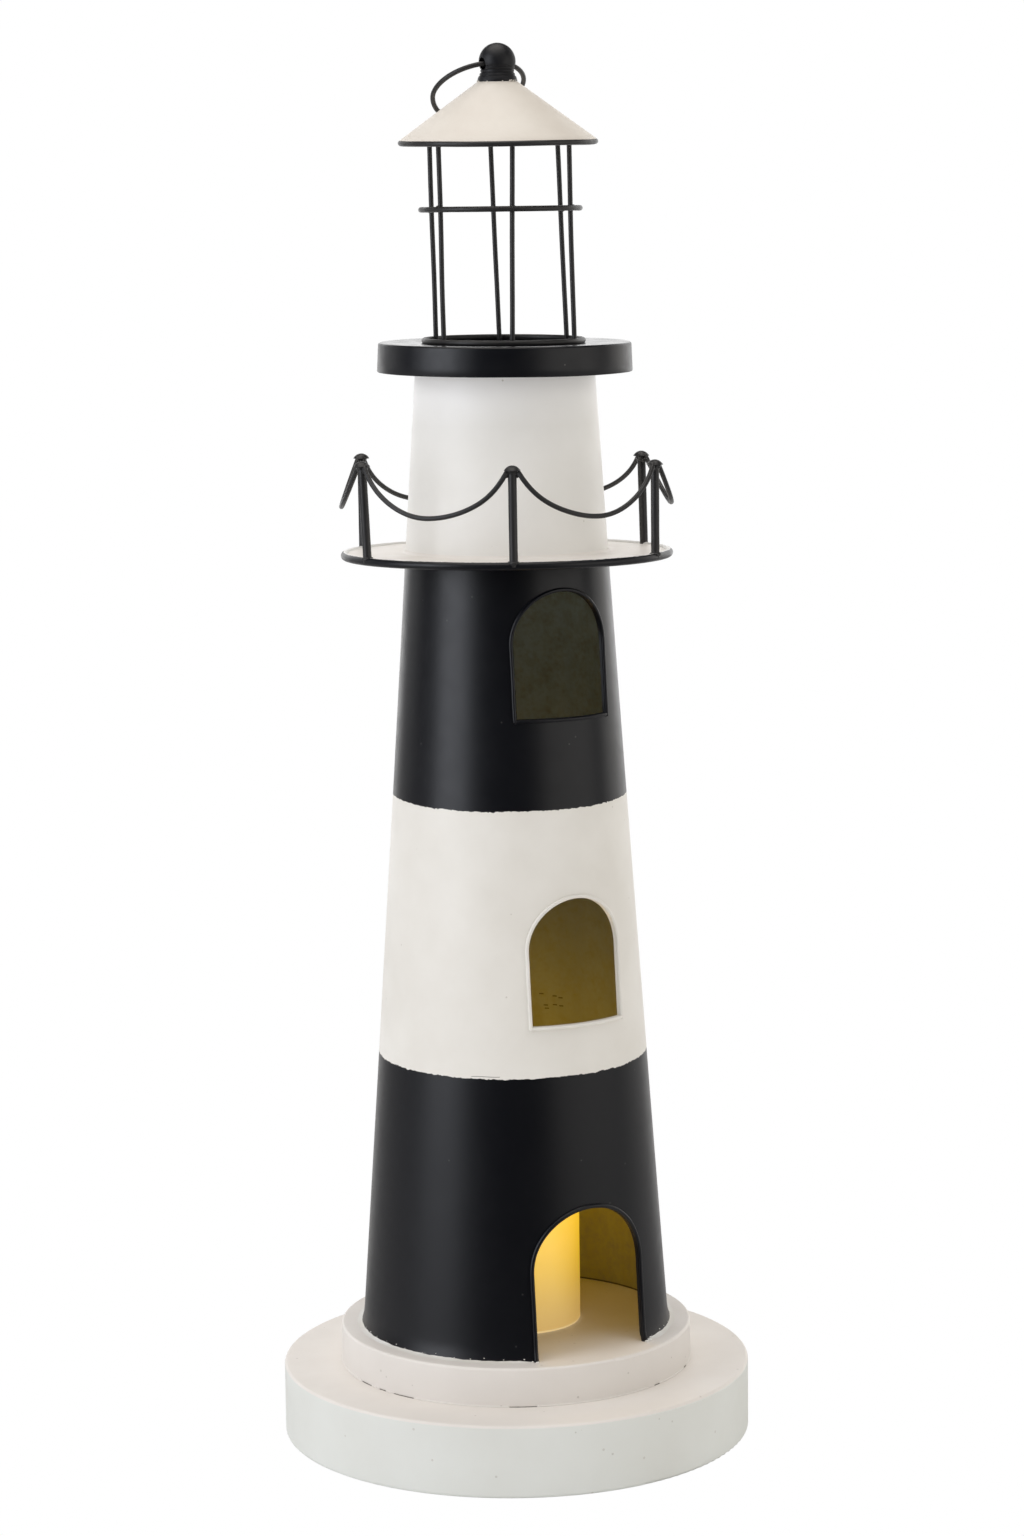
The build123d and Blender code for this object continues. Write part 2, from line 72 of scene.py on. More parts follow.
def angle_of(name):
    spot = middle(name)
    return math.atan2(spot.x, -spot.y)


def widest_at(name, z):
    """The largest radius of a node's points at one height."""
    reach = 0.05 * MM
    points = [v.co for v in frame["nodes"][name].data.vertices if abs(v.co.z - z) < reach]
    return max(math.hypot(p.x, p.y) for p in points)


STEP_TOP = high("base_step").z
FOOT_Z = low("tower_shell").z
TOP_Z = high("tower_shell").z
FOOT_R = high("tower_shell").x
TOP_R = widest_at("tower_shell", TOP_Z)
# Thickness of the tower's and deck's sheet, and of the trims' wire
SHEET = 1.0 * MM
TRIM_WIRE = {"door_frame": 1.9 * MM, "lower_window_frame": 1.7 * MM, "upper_window_frame": 1.7 * MM}
# How much the thickness of painted wire varies
WIRE_LUMPS = 0.015

GALLERY_TOP = high("gallery_plate").z
RIM_WIRE = high("gallery_rim").z - low("gallery_rim").z
RIM_Z = high("gallery_rim").z - RIM_WIRE / 2
RIM_R = high("gallery_rim").x - RIM_WIRE / 2
PLINTH_TOP = high("base_plinth").z
DECK_TOP = high("deck_pan").z
HINGE_Z = next(joint for joint in frame["joints"] if joint["name"] == "ring_swing")["pos_m"][2]
POSTS = [f"gallery_post_{k}" for k in range(1, 7)]
SWAGS = [f"gallery_swag_{k}" for k in range(1, 7)]
UPRIGHTS = [f"lantern_upright_{k}" for k in range(1, 7)]

# Paint edges on the tower, as heights
LOWER_BAND = 148.0 * MM
UPPER_BAND = 247.3 * MM
# How far the painted borders rise from the front to the sides
BAND_BEND = 1.5 * MM
# The tower's height under the deck's lip
TOWER_TOP = low("deck_pan").z


def tower_r(z):
    """Outer radius of the tower at a height."""
    return FOOT_R + (TOP_R - FOOT_R) * (z - FOOT_Z) / (TOP_Z - FOOT_Z)


def polar(angle, radius, z):
    """A point by its angle from the door's side towards +X."""
    return Vector((radius * math.sin(angle), -radius * math.cos(angle), z))


# The side that faces the viewer, and the viewer's right
FRONT = math.radians(-31.0)
FRONT_WAY = polar(FRONT, 1.0, 0.0)
RIGHT_WAY = Vector((math.cos(FRONT), math.sin(FRONT), 0.0))

# How hand-set pieces sit: degrees tipped to the front, degrees tipped to the right, slide to the right, lift
DECK_SEAT = (1.3, 0.4, 0.1 * MM, 0.65 * MM)
CAGE_RING_SEAT = (1.0, -0.1, -0.9 * MM, 0.0)
ROOF_SEAT = (2.9, 0.05, 0.0, 0.0)
RING_SEAT = (0.0, 5.2, 0.0, 0.0)
# The roof's edge is pressed up a little
ROOF_RAISE = 0.6 * MM
# The roof is slid along the ring's hinge. The ring is slid the other way in its hole, and the hole is lifted
# with it.
ROOF_SLIDE = Vector((-1.75 * MM, 0.0, 0.0))
RING_HOLE_RISE = 0.45 * MM
RING_SLIDE = Vector((0.8 * MM, 0.0, RING_HOLE_RISE))
DECK_DISH = 0.7 * MM


def seat_turn(forward, sideways):
    return Quaternion(RIGHT_WAY, math.radians(forward)) @ Quaternion(FRONT_WAY, -math.radians(sideways))


def tipped(point, height, forward, sideways, slide, lift):
    """A point after its piece is tipped about the axis at a height, then slid and lifted."""
    pivot = Vector((0, 0, height))
    moved = seat_turn(forward, sideways) @ (Vector(point) - pivot)
    return pivot + moved + RIGHT_WAY * slide + Vector((0, 0, lift))


def on_deck(point):
    """A point on the lid, which sits out of level and is dished in the middle."""
    far = min(1.0, math.hypot(point[0], point[1]) / high("deck_pan").x)
    return tipped(Vector(point) - Vector((0, 0, DECK_DISH * (1.0 - far**2))), DECK_TOP, *DECK_SEAT)


def on_roof(point):
    return tipped(point, HINGE_Z, *ROOF_SEAT) + ROOF_SLIDE


def rough(place, scale, seed):
    """Smooth noise between about -1 and 1 at a place, with bumps of a given size."""
    return noise.noise(Vector(place) / scale + Vector((seed, 1.7 * seed, -seed)))


def smooth_step(edge0, edge1, value):
    t = min(max((value - edge0) / (edge1 - edge0), 0.0), 1.0)
    return t * t * (3.0 - 2.0 * t)


# Mesh building


def add_object(name, data):
    made = bpy.data.objects.new(name, data)
    bpy.context.scene.collection.objects.link(made)
    return made


class Shape:
    """Collects tubes, turned forms and beads into one mesh."""

    def __init__(self):
        self.verts = []
        self.faces = []
        self.marks = []

    def add(self, verts, faces):
        """Adds a mesh; its marks say which of the piece's materials each face has, here the first."""
        start = len(self.verts)
        self.verts.extend(Vector(v) for v in verts)
        self.faces.extend([start + i for i in face] for face in faces)
        self.marks.extend([0] * len(faces))

    def skin(self, verts, sides, closed=False):
        """Joins rings of so many points, given one after the other; open ends are capped."""
        count = len(verts) // sides
        faces = []
        for i in range(count if closed else count - 1):
            near = i * sides
            far = (i + 1) % count * sides
            for k in range(sides):
                j = (k + 1) % sides
                faces.append((near + k, near + j, far + j, far + k))
        if not closed:
            faces.append(tuple(reversed(range(sides))))
            faces.append(tuple(range((count - 1) * sides, count * sides)))
        self.add(verts, faces)

    def tube(self, points, radius, closed=False, sides=16, lumps=0.0, seed=0.0):
        """A round wire along points; lumps is how much its thickness varies."""
        points = [Vector(p) for p in points]
        count = len(points)
        rings = []
        side = None
        for i, point in enumerate(points):
            before = points[i - 1] if closed or i else point
            after = points[(i + 1) % count] if closed or i < count - 1 else point
            along = (after - before).normalized()
            if side is None:
                guide = Vector((0, 0, 1)) if abs(along.z) < 0.9 else Vector((1, 0, 0))
                side = guide.cross(along)
            side = (side - along * side.dot(along)).normalized()
            other = along.cross(side)
            r = radius * (1.0 + lumps * rough(point, 3.0 * radius, seed))
            rings.append((point, along, side, other, r))
        verts = []
        if not closed:
            first = rings[0]
            last = rings[-1]
            caps = [math.radians(a) for a in (75, 50, 25)]
            start = [(first[0] - first[1] * first[4] * 0.5 * math.sin(a), *first[1:4], first[4] * math.cos(a))
                     for a in caps]
            end = [(last[0] + last[1] * last[4] * 0.5 * math.sin(a), *last[1:4], last[4] * math.cos(a))
                   for a in reversed(caps)]
            rings = start + rings + end
        for point, _, side, other, r in rings:
            for k in range(sides):
                turn = 2.0 * math.pi * k / sides
                verts.append(point + (side * math.cos(turn) + other * math.sin(turn)) * r)
        self.skin(verts, sides, closed)

    def lathe(self, profile, shift, segments=180, closed=False):
        """Turns (radius, z) points about the Z axis; shift(point) moves each to its place."""
        verts = []
        rings = []
        for radius, z in profile:
            if radius < 1e-7:
                rings.append([len(verts)] * segments)
                verts.append(Vector((0, 0, z)))
                continue
            rings.append(list(range(len(verts), len(verts) + segments)))
            verts.extend(polar(2.0 * math.pi * k / segments, radius, z) for k in range(segments))
        faces = []
        pairs = list(zip(rings, rings[1:]))
        if closed:
            pairs.append((rings[-1], rings[0]))
        for lower, upper in pairs:
            for k in range(segments):
                j = (k + 1) % segments
                corners = (lower[k], lower[j], upper[j], upper[k])
                faces.append(tuple(dict.fromkeys(corners)))
        self.add([shift(v) for v in verts], faces)

    def bead(self, centre, size, seed, lumps=0.22):
        """A lump of weld or filler; size is its half width along X, Y and Z."""
        build = bmesh.new()
        bmesh.ops.create_icosphere(build, subdivisions=3, radius=1.0)
        build.verts.ensure_lookup_table()
        verts = []
        for v in build.verts:
            grow = 1.0 + lumps * rough(v.co, 0.8, seed)
            verts.append(Vector(centre) + v.co * Vector(size) * grow)
        faces = [tuple(v.index for v in f.verts) for f in build.faces]
        build.free()
        self.add(verts, faces)

    def piece(self, name, materials, slot, replaces=(), body=ROOT, sharp=40.0):
        """Makes the mesh a piece of the object."""
        mesh = bpy.data.meshes.new(name)
        mesh.from_pydata([tuple(v) for v in self.verts], [], self.faces)
        for material in materials if isinstance(materials, list) else [materials]:
            mesh.materials.append(material)
        mesh.polygons.foreach_set("material_index", self.marks)
        build = bmesh.new()
        build.from_mesh(mesh)
        limit = math.radians(sharp)
        for edge in build.edges:
            edge.smooth = len(edge.link_faces) == 2 and edge.calc_face_angle() < limit
        for face in build.faces:
            face.smooth = True
        build.to_mesh(mesh)
        build.free()
        made = add_object(name, mesh)
        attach(made, body)
        if replaces:
            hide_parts(*replaces)
        return made


def arc(centre, radius, start, end, count):
    """Points of an arc in a profile, angles in degrees from the outward direction."""
    turns = [math.radians(start + (end - start) * i / count) for i in range(count + 1)]
    return [(centre[0] + radius * math.cos(t), centre[1] + radius * math.sin(t)) for t in turns]


def circle(radius, z, count, wave=0.0, seed=0.0):
    """Points of a level ring; wave is how far the hand-bent wire strays from level."""
    points = []
    for k in range(count):
        turn = 2.0 * math.pi * k / count
        stray = wave * rough(polar(turn, 1.0, 0.0), 0.9, seed)
        points.append(polar(turn, radius + 0.5 * stray, z + stray))
    return points


# Shader building


class Value:
    """A shader output that works like a number: each sum adds a Math node to its tree."""

    def __init__(self, tree, socket):
        self.tree = tree
        self.socket = socket

    def math(self, operation, other=0.0):
        return node(self.tree, "Math", {0: self, 1: other}, operation=operation)[0]

    def __add__(self, other):
        return self.math("ADD", other)

    def __sub__(self, other):
        return self.math("SUBTRACT", other)

    def __rsub__(self, other):
        return node(self.tree, "Math", {0: other, 1: self}, operation="SUBTRACT")[0]

    def __mul__(self, other):
        return self.math("MULTIPLY", other)

    def __gt__(self, other):
        return self.math("GREATER_THAN", other)

    def __lt__(self, other):
        return self.math("LESS_THAN", other)

    def __abs__(self):
        return self.math("ABSOLUTE")


class Outputs:
    """A node's outputs as values, by name or number."""

    def __init__(self, tree, made):
        self.tree = tree
        self.made = made

    def __getitem__(self, key):
        return Value(self.tree, self.made.outputs[key])


def feed(socket, value):
    """Links a value to a socket, or sets the socket to a plain number, colour or vector."""
    if isinstance(value, Value):
        value.tree.links.new(value.socket, socket)
    else:
        socket.default_value = value


def node(tree, kind, inputs=None, **settings):
    """Adds a shader node, feeds its inputs and gives its outputs."""
    made = tree.nodes.new("ShaderNode" + kind)
    for key, value in settings.items():
        setattr(made, key, value)
    for key, value in (inputs or {}).items():
        feed(made.inputs[key], value)
    return Outputs(tree, made)


def blend(mask, first, second):
    """The first colour where the mask is 0, and the second where it is 1."""
    inputs = {0: mask}
    for key, colour in ((6, first), (7, second)):
        inputs[key] = (*colour, 1.0) if isinstance(colour, tuple) else colour
    return node(mask.tree, "Mix", inputs, data_type="RGBA")[2]


def ramp(value, low_in, high_in, low_out, high_out, smooth=False):
    """A value carried from one range to another, and held at the ends."""
    kind = "SMOOTHSTEP" if smooth else "LINEAR"
    inputs = {"Value": value, "From Min": low_in, "From Max": high_in, "To Min": low_out, "To Max": high_out}
    return node(value.tree, "MapRange", inputs, interpolation_type=kind)[0]


def new_group(name, inputs, outputs):
    """An empty shader group with float inputs {name: default} and float outputs."""
    group = bpy.data.node_groups.new(name, "ShaderNodeTree")
    for label, default in inputs.items():
        socket = group.interface.new_socket(label, in_out="INPUT", socket_type="NodeSocketFloat")
        socket.default_value = default
    for label in outputs:
        group.interface.new_socket(label, in_out="OUTPUT", socket_type="NodeSocketFloat")
    given = Outputs(group, group.nodes.new("NodeGroupInput"))
    return group, given, group.nodes.new("NodeGroupOutput").inputs


def use_group(tree, group, **inputs):
    return node(tree, "Group", inputs, node_tree=group)


def own_place(tree):
    return node(tree, "TexCoord")["Object"]


def cloud(tree, scale, detail, place=None, **more):
    """Noise around 0.5 over the surface."""
    inputs = {"Vector": place or own_place(tree), "Scale": scale, "Detail": detail, **more}
    return node(tree, "TexNoise", inputs)[0]


def make_round_place():
    """Distance from the tower's axis, height, and angle from the door's side."""
    group, _, out = new_group("round_place", {}, ["Radius", "Height", "Angle"])
    place = node(group, "SeparateXYZ", {0: own_place(group)})
    x = place[0]
    y = place[1]
    feed(out["Radius"], (x * x + y * y).math("SQRT"))
    feed(out["Height"], place[2])
    feed(out["Angle"], x.math("ARCTAN2", y * -1.0))
    return group


def make_paint_film():
    """Brushed paint: fine orange peel, slow drift in tone, and a height for bumps."""
    group, given, out = new_group("paint_film", {"Grain": 900.0, "Drift": 35.0}, ["Height", "Tone", "Patch"])
    fine = cloud(group, given["Grain"], 2.0)
    slow = cloud(group, given["Drift"], 4.0)
    mid = cloud(group, given["Drift"] * 5.0, 3.0)
    feed(out["Height"], fine * 0.35 + mid * 0.65)
    feed(out["Tone"], slow)
    feed(out["Patch"], ramp(mid, 0.35, 0.7, 0.0, 1.0, True))
    return group


def make_paint_edge():
    """A hand-painted line: 0 below the edge and 1 above it, with a wandering border."""
    inputs = {"Along": 0.0, "Edge": 0.0, "Wander": 0.6 * MM, "Jitter": 0.2 * MM}
    group, given, out = new_group("paint_edge", inputs, ["Above"])
    sway = (cloud(group, 45.0, 1.0) - 0.5) * given["Wander"]
    shake = (cloud(group, 480.0, 2.0) + cloud(group, 1300.0, 2.0) * 0.6 - 0.8) * given["Jitter"]
    past = given["Along"] + (sway + shake) - given["Edge"]
    feed(out["Above"], ramp(past, -0.06 * MM, 0.06 * MM, 0.0, 1.0, True))
    return group


def make_specks():
    """Small scattered dots of dust or pinholes."""
    group, given, out = new_group("specks", {"Scale": 260.0, "Size": 0.16, "Share": 0.2}, ["Mask"])
    cells = node(group, "TexVoronoi", {"Vector": own_place(group), "Scale": given["Scale"]})
    pick = node(group, "SeparateColor", {0: cells["Color"]})[0]
    feed(out["Mask"], (cells["Distance"] < given["Size"]) * (pick < given["Share"]))
    return group


def make_scuffs():
    """Short pale rub marks, drawn out sideways."""
    group, given, out = new_group("scuffs", {"Scale": 60.0, "Amount": 0.3}, ["Mask"])
    stretch = node(group, "Mapping", {"Vector": own_place(group), "Scale": (1.0, 0.35, 4.0)})[0]
    streak = cloud(group, given["Scale"], 5.0, stretch, Roughness=0.7)
    floor = 0.78 - given["Amount"] * 0.2
    feed(out["Mask"], ramp(streak - floor, 0.0, 0.06, 0.0, 1.0, True))
    return group


ROUND_PLACE = make_round_place()
PAINT_FILM = make_paint_film()
PAINT_EDGE = make_paint_edge()
SPECKS = make_specks()
SCUFFS = make_scuffs()

# The two tones that each paint drifts between
BLACK = ((0.0027, 0.0031, 0.0058), (0.0035, 0.0039, 0.0066))
WIRE_BLACK = ((0.018, 0.0175, 0.018), (0.022, 0.021, 0.021))
CREAM = ((0.775, 0.748, 0.695), (0.725, 0.695, 0.638))
WHITE = ((0.795, 0.785, 0.76), (0.745, 0.735, 0.705))
FILLER_WHITE = ((0.795, 0.785, 0.76), (0.72, 0.69, 0.63))
TOP_WHITE = ((0.845, 0.825, 0.785), (0.805, 0.785, 0.74))
ROOF_CREAM = ((0.69, 0.645, 0.58), (0.65, 0.60, 0.535))
SIDE_WHITE = ((0.725, 0.735, 0.70), (0.69, 0.695, 0.655))
PLATE_WHITE = ((0.84, 0.80, 0.75), (0.80, 0.755, 0.70))
BOARD_WHITE = ((0.775, 0.735, 0.69), (0.735, 0.695, 0.65))


def principled(made):
    return made.node_tree.nodes["Principled BSDF"]


def new_material(name, **plain):
    """A material with one Principled shader; plain values go straight to its sockets."""
    made = bpy.data.materials.new(name)
    made.use_nodes = True
    for key, value in plain.items():
        feed(principled(made).inputs[key.replace("_", " ")], value)
    return made


def new_paint(name, grain, drift=35.0, **plain):
    """A material, and a paint film in it to work from."""
    made = new_material(name, **plain)
    return made, use_group(made.node_tree, PAINT_FILM, Grain=grain, Drift=drift)


def finish_paint(made, colour, roughness, height, depth):
    """Feeds colour, roughness and a bump to a material's shader."""
    bump = node(made.node_tree, "Bump", {"Height": height, "Strength": 0.6, "Distance": depth})
    sockets = principled(made).inputs
    feed(sockets["Base Color"], colour)
    feed(sockets["Roughness"], roughness)
    feed(sockets["Normal"], bump[0])
    return made


def gloss_of(film, smoothest, roughest):
    return ramp(film["Patch"], 0.0, 1.0, smoothest, roughest)


def finish_film(made, film, colour, gloss, depth=0.05 * MM):
    """A plain coat: the film's own bumps, and a roughness between two values."""
    return finish_paint(made, colour, gloss_of(film, *gloss), film["Height"], depth)


def toned(colour, share):
    """A colour and a darker tone of it."""
    return colour, tuple(share * part for part in colour)


def two_tone(film, tones):
    return blend(ramp(film["Tone"], 0.35, 0.65, 0.0, 1.0), *tones)


def dusted(colour, dust, share, scale=330.0):
    """A colour with a few pale or dark specks on it."""
    spots = use_group(colour.tree, SPECKS, Scale=scale, Size=0.12, Share=share)["Mask"]
    return blend(spots * 0.5, colour, dust)


def paint_edge(along, edge, wander, jitter):
    """Mask of what lies past a hand-painted border."""
    return use_group(along.tree, PAINT_EDGE, Along=along, Edge=edge, Wander=wander, Jitter=jitter)["Above"]


def toward_front(place):
    """1 on the side that faces the viewer, -1 behind."""
    return (place["Angle"] - FRONT).math("COSINE")


def black_paint(name, gloss, depth=0.03 * MM, grain=900.0, tones=BLACK):
    """Satin black paint with a little dust."""
    made, film = new_paint(name, grain)
    colour = dusted(two_tone(film, tones), (0.09, 0.088, 0.085), 0.04)
    return finish_film(made, film, colour, gloss, depth)


def deck_paint():
    """Black paint, scuffed on the pan's side and glossier on its level top."""
    made, film = new_paint("black_deck", 800.0)
    normal = node(film.tree, "NewGeometry")["Normal"]
    level = node(film.tree, "SeparateXYZ", {0: normal})[2] > 0.8
    colour = dusted(two_tone(film, BLACK), (0.12, 0.118, 0.115), 0.012)
    rubbed = use_group(film.tree, SCUFFS, Amount=0.4)["Mask"]
    colour = blend(rubbed * 0.2, colour, (0.2, 0.195, 0.185))
    roughness = gloss_of(film, 0.34, 0.4) - level * 0.14
    return finish_paint(made, colour, roughness, film["Height"] * (1.0 - level), 0.03 * MM)


def pale_paint(name, tones, gloss=(0.42, 0.55), depth=0.05 * MM, share=0.05):
    """Pale paint or filler; share is how much of it is dusty."""
    made, film = new_paint(name, 700.0)
    colour = dusted(two_tone(film, tones), (0.42, 0.38, 0.32), share)
    return finish_film(made, film, colour, gloss, depth)


# A hair crack in the cream: angle and half spread in degrees, height above the band's edge
CRACK = (-42.5, 6.0, 0.9 * MM)


def paint_crack(place, film):
    """Mask of the hair crack where the cream laps over the black."""
    angle, spread, rise = CRACK
    sway = (film["Tone"] - 0.5) * (2.5 * MM)
    level = place["Height"] - (LOWER_BAND + rise) + sway
    aside = place["Angle"] - math.radians(angle)
    return (abs(level) < 0.12 * MM) * (abs(aside) < math.radians(spread)) * 0.75


def tower_paint():
    """Black and cream bands with hand-painted borders, white above the gallery, brightened just under the
    deck as painted light.
    """
    made, film = new_paint("tower_paint", 800.0)
    place = use_group(film.tree, ROUND_PLACE)
    z = place["Height"]
    bent = z + (toward_front(place) - 1.0) * BAND_BEND
    lower = paint_edge(bent, LOWER_BAND, 1.0 * MM, 1.1 * MM)
    upper = paint_edge(bent, UPPER_BAND, 1.4 * MM, 1.2 * MM)
    top = z > RIM_Z
    pale = (lower - upper).math("MAXIMUM", top)
    black = dusted(two_tone(film, BLACK), (0.07, 0.07, 0.068), 0.05)
    # Painted light: the white grows brighter over the last 18 mm under the deck, to make up for the deck's
    # shade there.
    lit_under_deck = ramp(z, TOWER_TOP - 18.0 * MM, TOWER_TOP, 0.0, 1.0)
    white = blend(lit_under_deck, two_tone(film, TOP_WHITE), (0.97, 0.955, 0.935))
    light = dusted(blend(top, two_tone(film, CREAM), white), (0.45, 0.41, 0.35), 0.03)
    light = blend(paint_crack(place, film), light, (0.1, 0.095, 0.09))
    gloss = gloss_of(film, 0.34, 0.37) + pale * 0.1
    height = film["Height"] + pale * 1.2
    return finish_paint(made, blend(pale, black, light), gloss, height, 0.035 * MM)


# Short dark dashes on the wall inside the lower window: their middle as angle and height, then each one's
# millimetres aside and above it
SCRATCH_SPOT = (131.5, 158.4 * MM)
SCRATCHES = [(3.5, 1.8), (-2.0, 1.1), (-4.5, 0.5), (1.8, -2.8), (-2.0, -2.5), (1.4, -4.1), (-4.7, -2.8)]
SCRATCH_HALF = (0.9 * MM, 0.24 * MM)


def scratch_marks(place):
    """Mask of the dashes."""
    angle, height = SCRATCH_SPOT
    half_width, half_height = SCRATCH_HALF
    aside = (place["Angle"] - math.radians(angle)) * (tower_r(height) - SHEET)
    above = place["Height"] - height
    marks = None
    for across, up in SCRATCHES:
        dash = (abs(aside - across * MM) < half_width) * (abs(above - up * MM) < half_height)
        marks = marks.math("MAXIMUM", dash) if marks else dash
    return marks


def tower_inside():
    """Bare primed sheet inside the tower, mottled, with a few dark scratches, and painted candle light:
    golden low down, lighter and greener higher up.
    """
    made, film = new_paint("tower_inside", 500.0, 60.0)
    tree = film.tree
    upright = node(tree, "Mapping", {"Vector": own_place(tree), "Scale": (1.0, 1.0, 0.06)})[0]
    streaks = ramp(cloud(tree, 160.0, 4.0, upright), 0.3, 0.7, 0.0, 1.0)
    place = use_group(tree, ROUND_PLACE)
    z = place["Height"]
    # Painted light: the wall's tone changes with height for the candle's light, lighter and greener higher up
    # where that light has faded.
    high_up = ramp(z, LOWER_BAND + 40.0 * MM, UPPER_BAND + 50.0 * MM, 0.0, 1.0, True)
    plain = blend(high_up, (0.275, 0.29, 0.30), (0.385, 0.435, 0.40))
    plain = blend(streaks * 0.12, plain, (0.05, 0.05, 0.03))
    # Painted candle glow: a golden tone low down, near the candle.
    painted_candle_glow = blend(streaks, (0.375, 0.355, 0.13), (0.335, 0.31, 0.105))
    low_down = ramp(z, FOOT_Z + 40.0 * MM, FOOT_Z + 135.0 * MM, 1.0, 0.0, True)
    colour = blend(low_down, plain, painted_candle_glow)
    spots = ramp(cloud(tree, 620.0, 3.0), 0.42, 0.66, 0.0, 0.3)
    stains = ramp(cloud(tree, 170.0, 5.0, Roughness=0.65), 0.45, 0.7, 0.0, 0.55)
    colour = blend(spots + stains, colour, (0.24, 0.23, 0.14))
    colour = blend(scratch_marks(place), colour, (0.05, 0.045, 0.03))
    gap = z < FOOT_Z + 0.7 * MM
    colour = blend(gap * 0.85, colour, (0.03, 0.025, 0.015))
    return finish_film(made, film, colour, (0.45, 0.6))


def gallery_rim_paint():
    """Black on the rim's outside, white carried over from the plate on its inside."""
    made, film = new_paint("gallery_rim_paint", 900.0)
    place = use_group(film.tree, ROUND_PLACE)
    rise = place["Height"] - RIM_Z
    along = RIM_R - place["Radius"] + rise * 0.35
    pale = paint_edge(along, 0.2 * MM, 0.9 * MM, 1.0 * MM) * (rise > -0.3 * MM)
    black = dusted(two_tone(film, BLACK), (0.6, 0.58, 0.54), 0.03, 420.0)
    colour = blend(pale, black, two_tone(film, WHITE))
    return finish_film(made, film, colour, (0.34, 0.42))


def gallery_plate_paint():
    """White on top of the plate and black beneath it."""
    made, film = new_paint("gallery_plate_paint", 700.0)
    top = use_group(film.tree, ROUND_PLACE)["Height"] > GALLERY_TOP - 0.4 * MM
    white = dusted(two_tone(film, PLATE_WHITE), (0.3, 0.27, 0.22), 0.08)
    return finish_film(made, film, blend(top, two_tone(film, BLACK), white), (0.4, 0.52))


def roof_paint():
    """Warm cream, with the rim's black carried on to the edge."""
    made, film = new_paint("roof_paint", 700.0, 50.0)
    upward = seat_turn(*ROOF_SEAT[:2]) @ Vector((0, 0, 1))
    inputs = {0: own_place(film.tree), 1: upward}
    rise = node(film.tree, "VectorMath", inputs, operation="DOT_PRODUCT")["Value"]
    edge = on_roof((0, 0, high("roof_rim").z + ROOF_RAISE - 0.5 * MM)).dot(upward)
    cream = paint_edge(rise, edge, 0.7 * MM, 0.9 * MM)
    colour = blend(cream, two_tone(film, BLACK), two_tone(film, ROOF_CREAM))
    return finish_film(made, film, colour, (0.45, 0.6), 0.08 * MM)


def base_paint():
    """Thick matt paint on turned board, warmer on top, with small dints and pinholes."""
    made, film = new_paint("base_paint", 420.0, 22.0, Specular_IOR_Level=0.25)
    holes = use_group(film.tree, SPECKS, Scale=150.0, Size=0.07, Share=0.14)["Mask"]
    raised = use_group(film.tree, ROUND_PLACE)["Height"] > PLINTH_TOP - 0.9 * MM
    colour = blend(raised, two_tone(film, SIDE_WHITE), two_tone(film, BOARD_WHITE))
    colour = dusted(colour, (0.5, 0.47, 0.42), 0.12, 240.0)
    colour = blend(holes * 0.4, colour, (0.36, 0.33, 0.29))
    height = film["Height"] - holes * 0.8
    return finish_paint(made, colour, gloss_of(film, 0.5, 0.66), height, 0.12 * MM)


def candle_wax():
    """Ivory shell lit from inside: golden near the lamp, paler towards its foot, with a painted highlight
    line round the foot.
    """
    made, film = new_paint("candle_wax", 300.0, 40.0, Emission_Strength=1.0)
    z = use_group(film.tree, ROUND_PLACE)["Height"]
    glow = ramp(z, STEP_TOP, STEP_TOP + 55.0 * MM, 0.0, 1.0, True)
    pale = ramp(z, STEP_TOP, STEP_TOP + 30.0 * MM, 1.0, 0.0, True)
    foot = blend(pale, (0.34, 0.195, 0.0), (0.385, 0.24, 0.07))
    # Painted highlight: a pale line round the candle's foot, put into its glow.
    foot_highlight = z < STEP_TOP + 0.8 * MM
    foot = blend(foot_highlight * 0.5, foot, (0.6, 0.5, 0.3))
    feed(principled(made).inputs["Emission Color"], blend(glow, foot, (0.90, 0.52, 0.012)))
    colour = two_tone(film, ((0.64, 0.53, 0.27), (0.60, 0.49, 0.24)))
    return finish_film(made, film, colour, (0.4, 0.5))


def glowing(name, colour, light, strength):
    """Frosted plastic lit from within."""
    made, film = new_paint(name, 400.0, 90.0, Emission_Strength=strength)
    feed(principled(made).inputs["Emission Color"], two_tone(film, toned(light, 0.85)))
    return finish_film(made, film, two_tone(film, toned(colour, 0.9)), (0.25, 0.4))


def moulded(name, colour, gloss=(0.4, 0.55)):
    """Fine-grained moulded plastic or sleeve."""
    made, film = new_paint(name, 1400.0, 60.0)
    return finish_film(made, film, two_tone(film, toned(colour, 0.8)), gloss, 0.04 * MM)


def plated_steel(name, colour):
    made, film = new_paint(name, 1200.0, 120.0, Metallic=1.0)
    return finish_film(made, film, two_tone(film, toned(colour, 0.75)), (0.25, 0.42), 0.03 * MM)


def cell_sleeve():
    """A plain battery sleeve, dark with a copper-coloured end towards the nub."""
    made, film = new_paint("cell_sleeve", 1200.0, 80.0, Metallic=0.6)
    place = node(film.tree, "SeparateXYZ", {0: own_place(film.tree)})
    side = (place[1] * -1.0).math("SIGN")
    copper = (place[0] - middle("battery_cell_1").x) * side > 11.0 * MM
    dark = two_tone(film, ((0.03, 0.033, 0.04), (0.02, 0.022, 0.028)))
    colour = blend(copper, dark, (0.55, 0.30, 0.13))
    return finish_film(made, film, colour, (0.25, 0.35), 0.02 * MM)


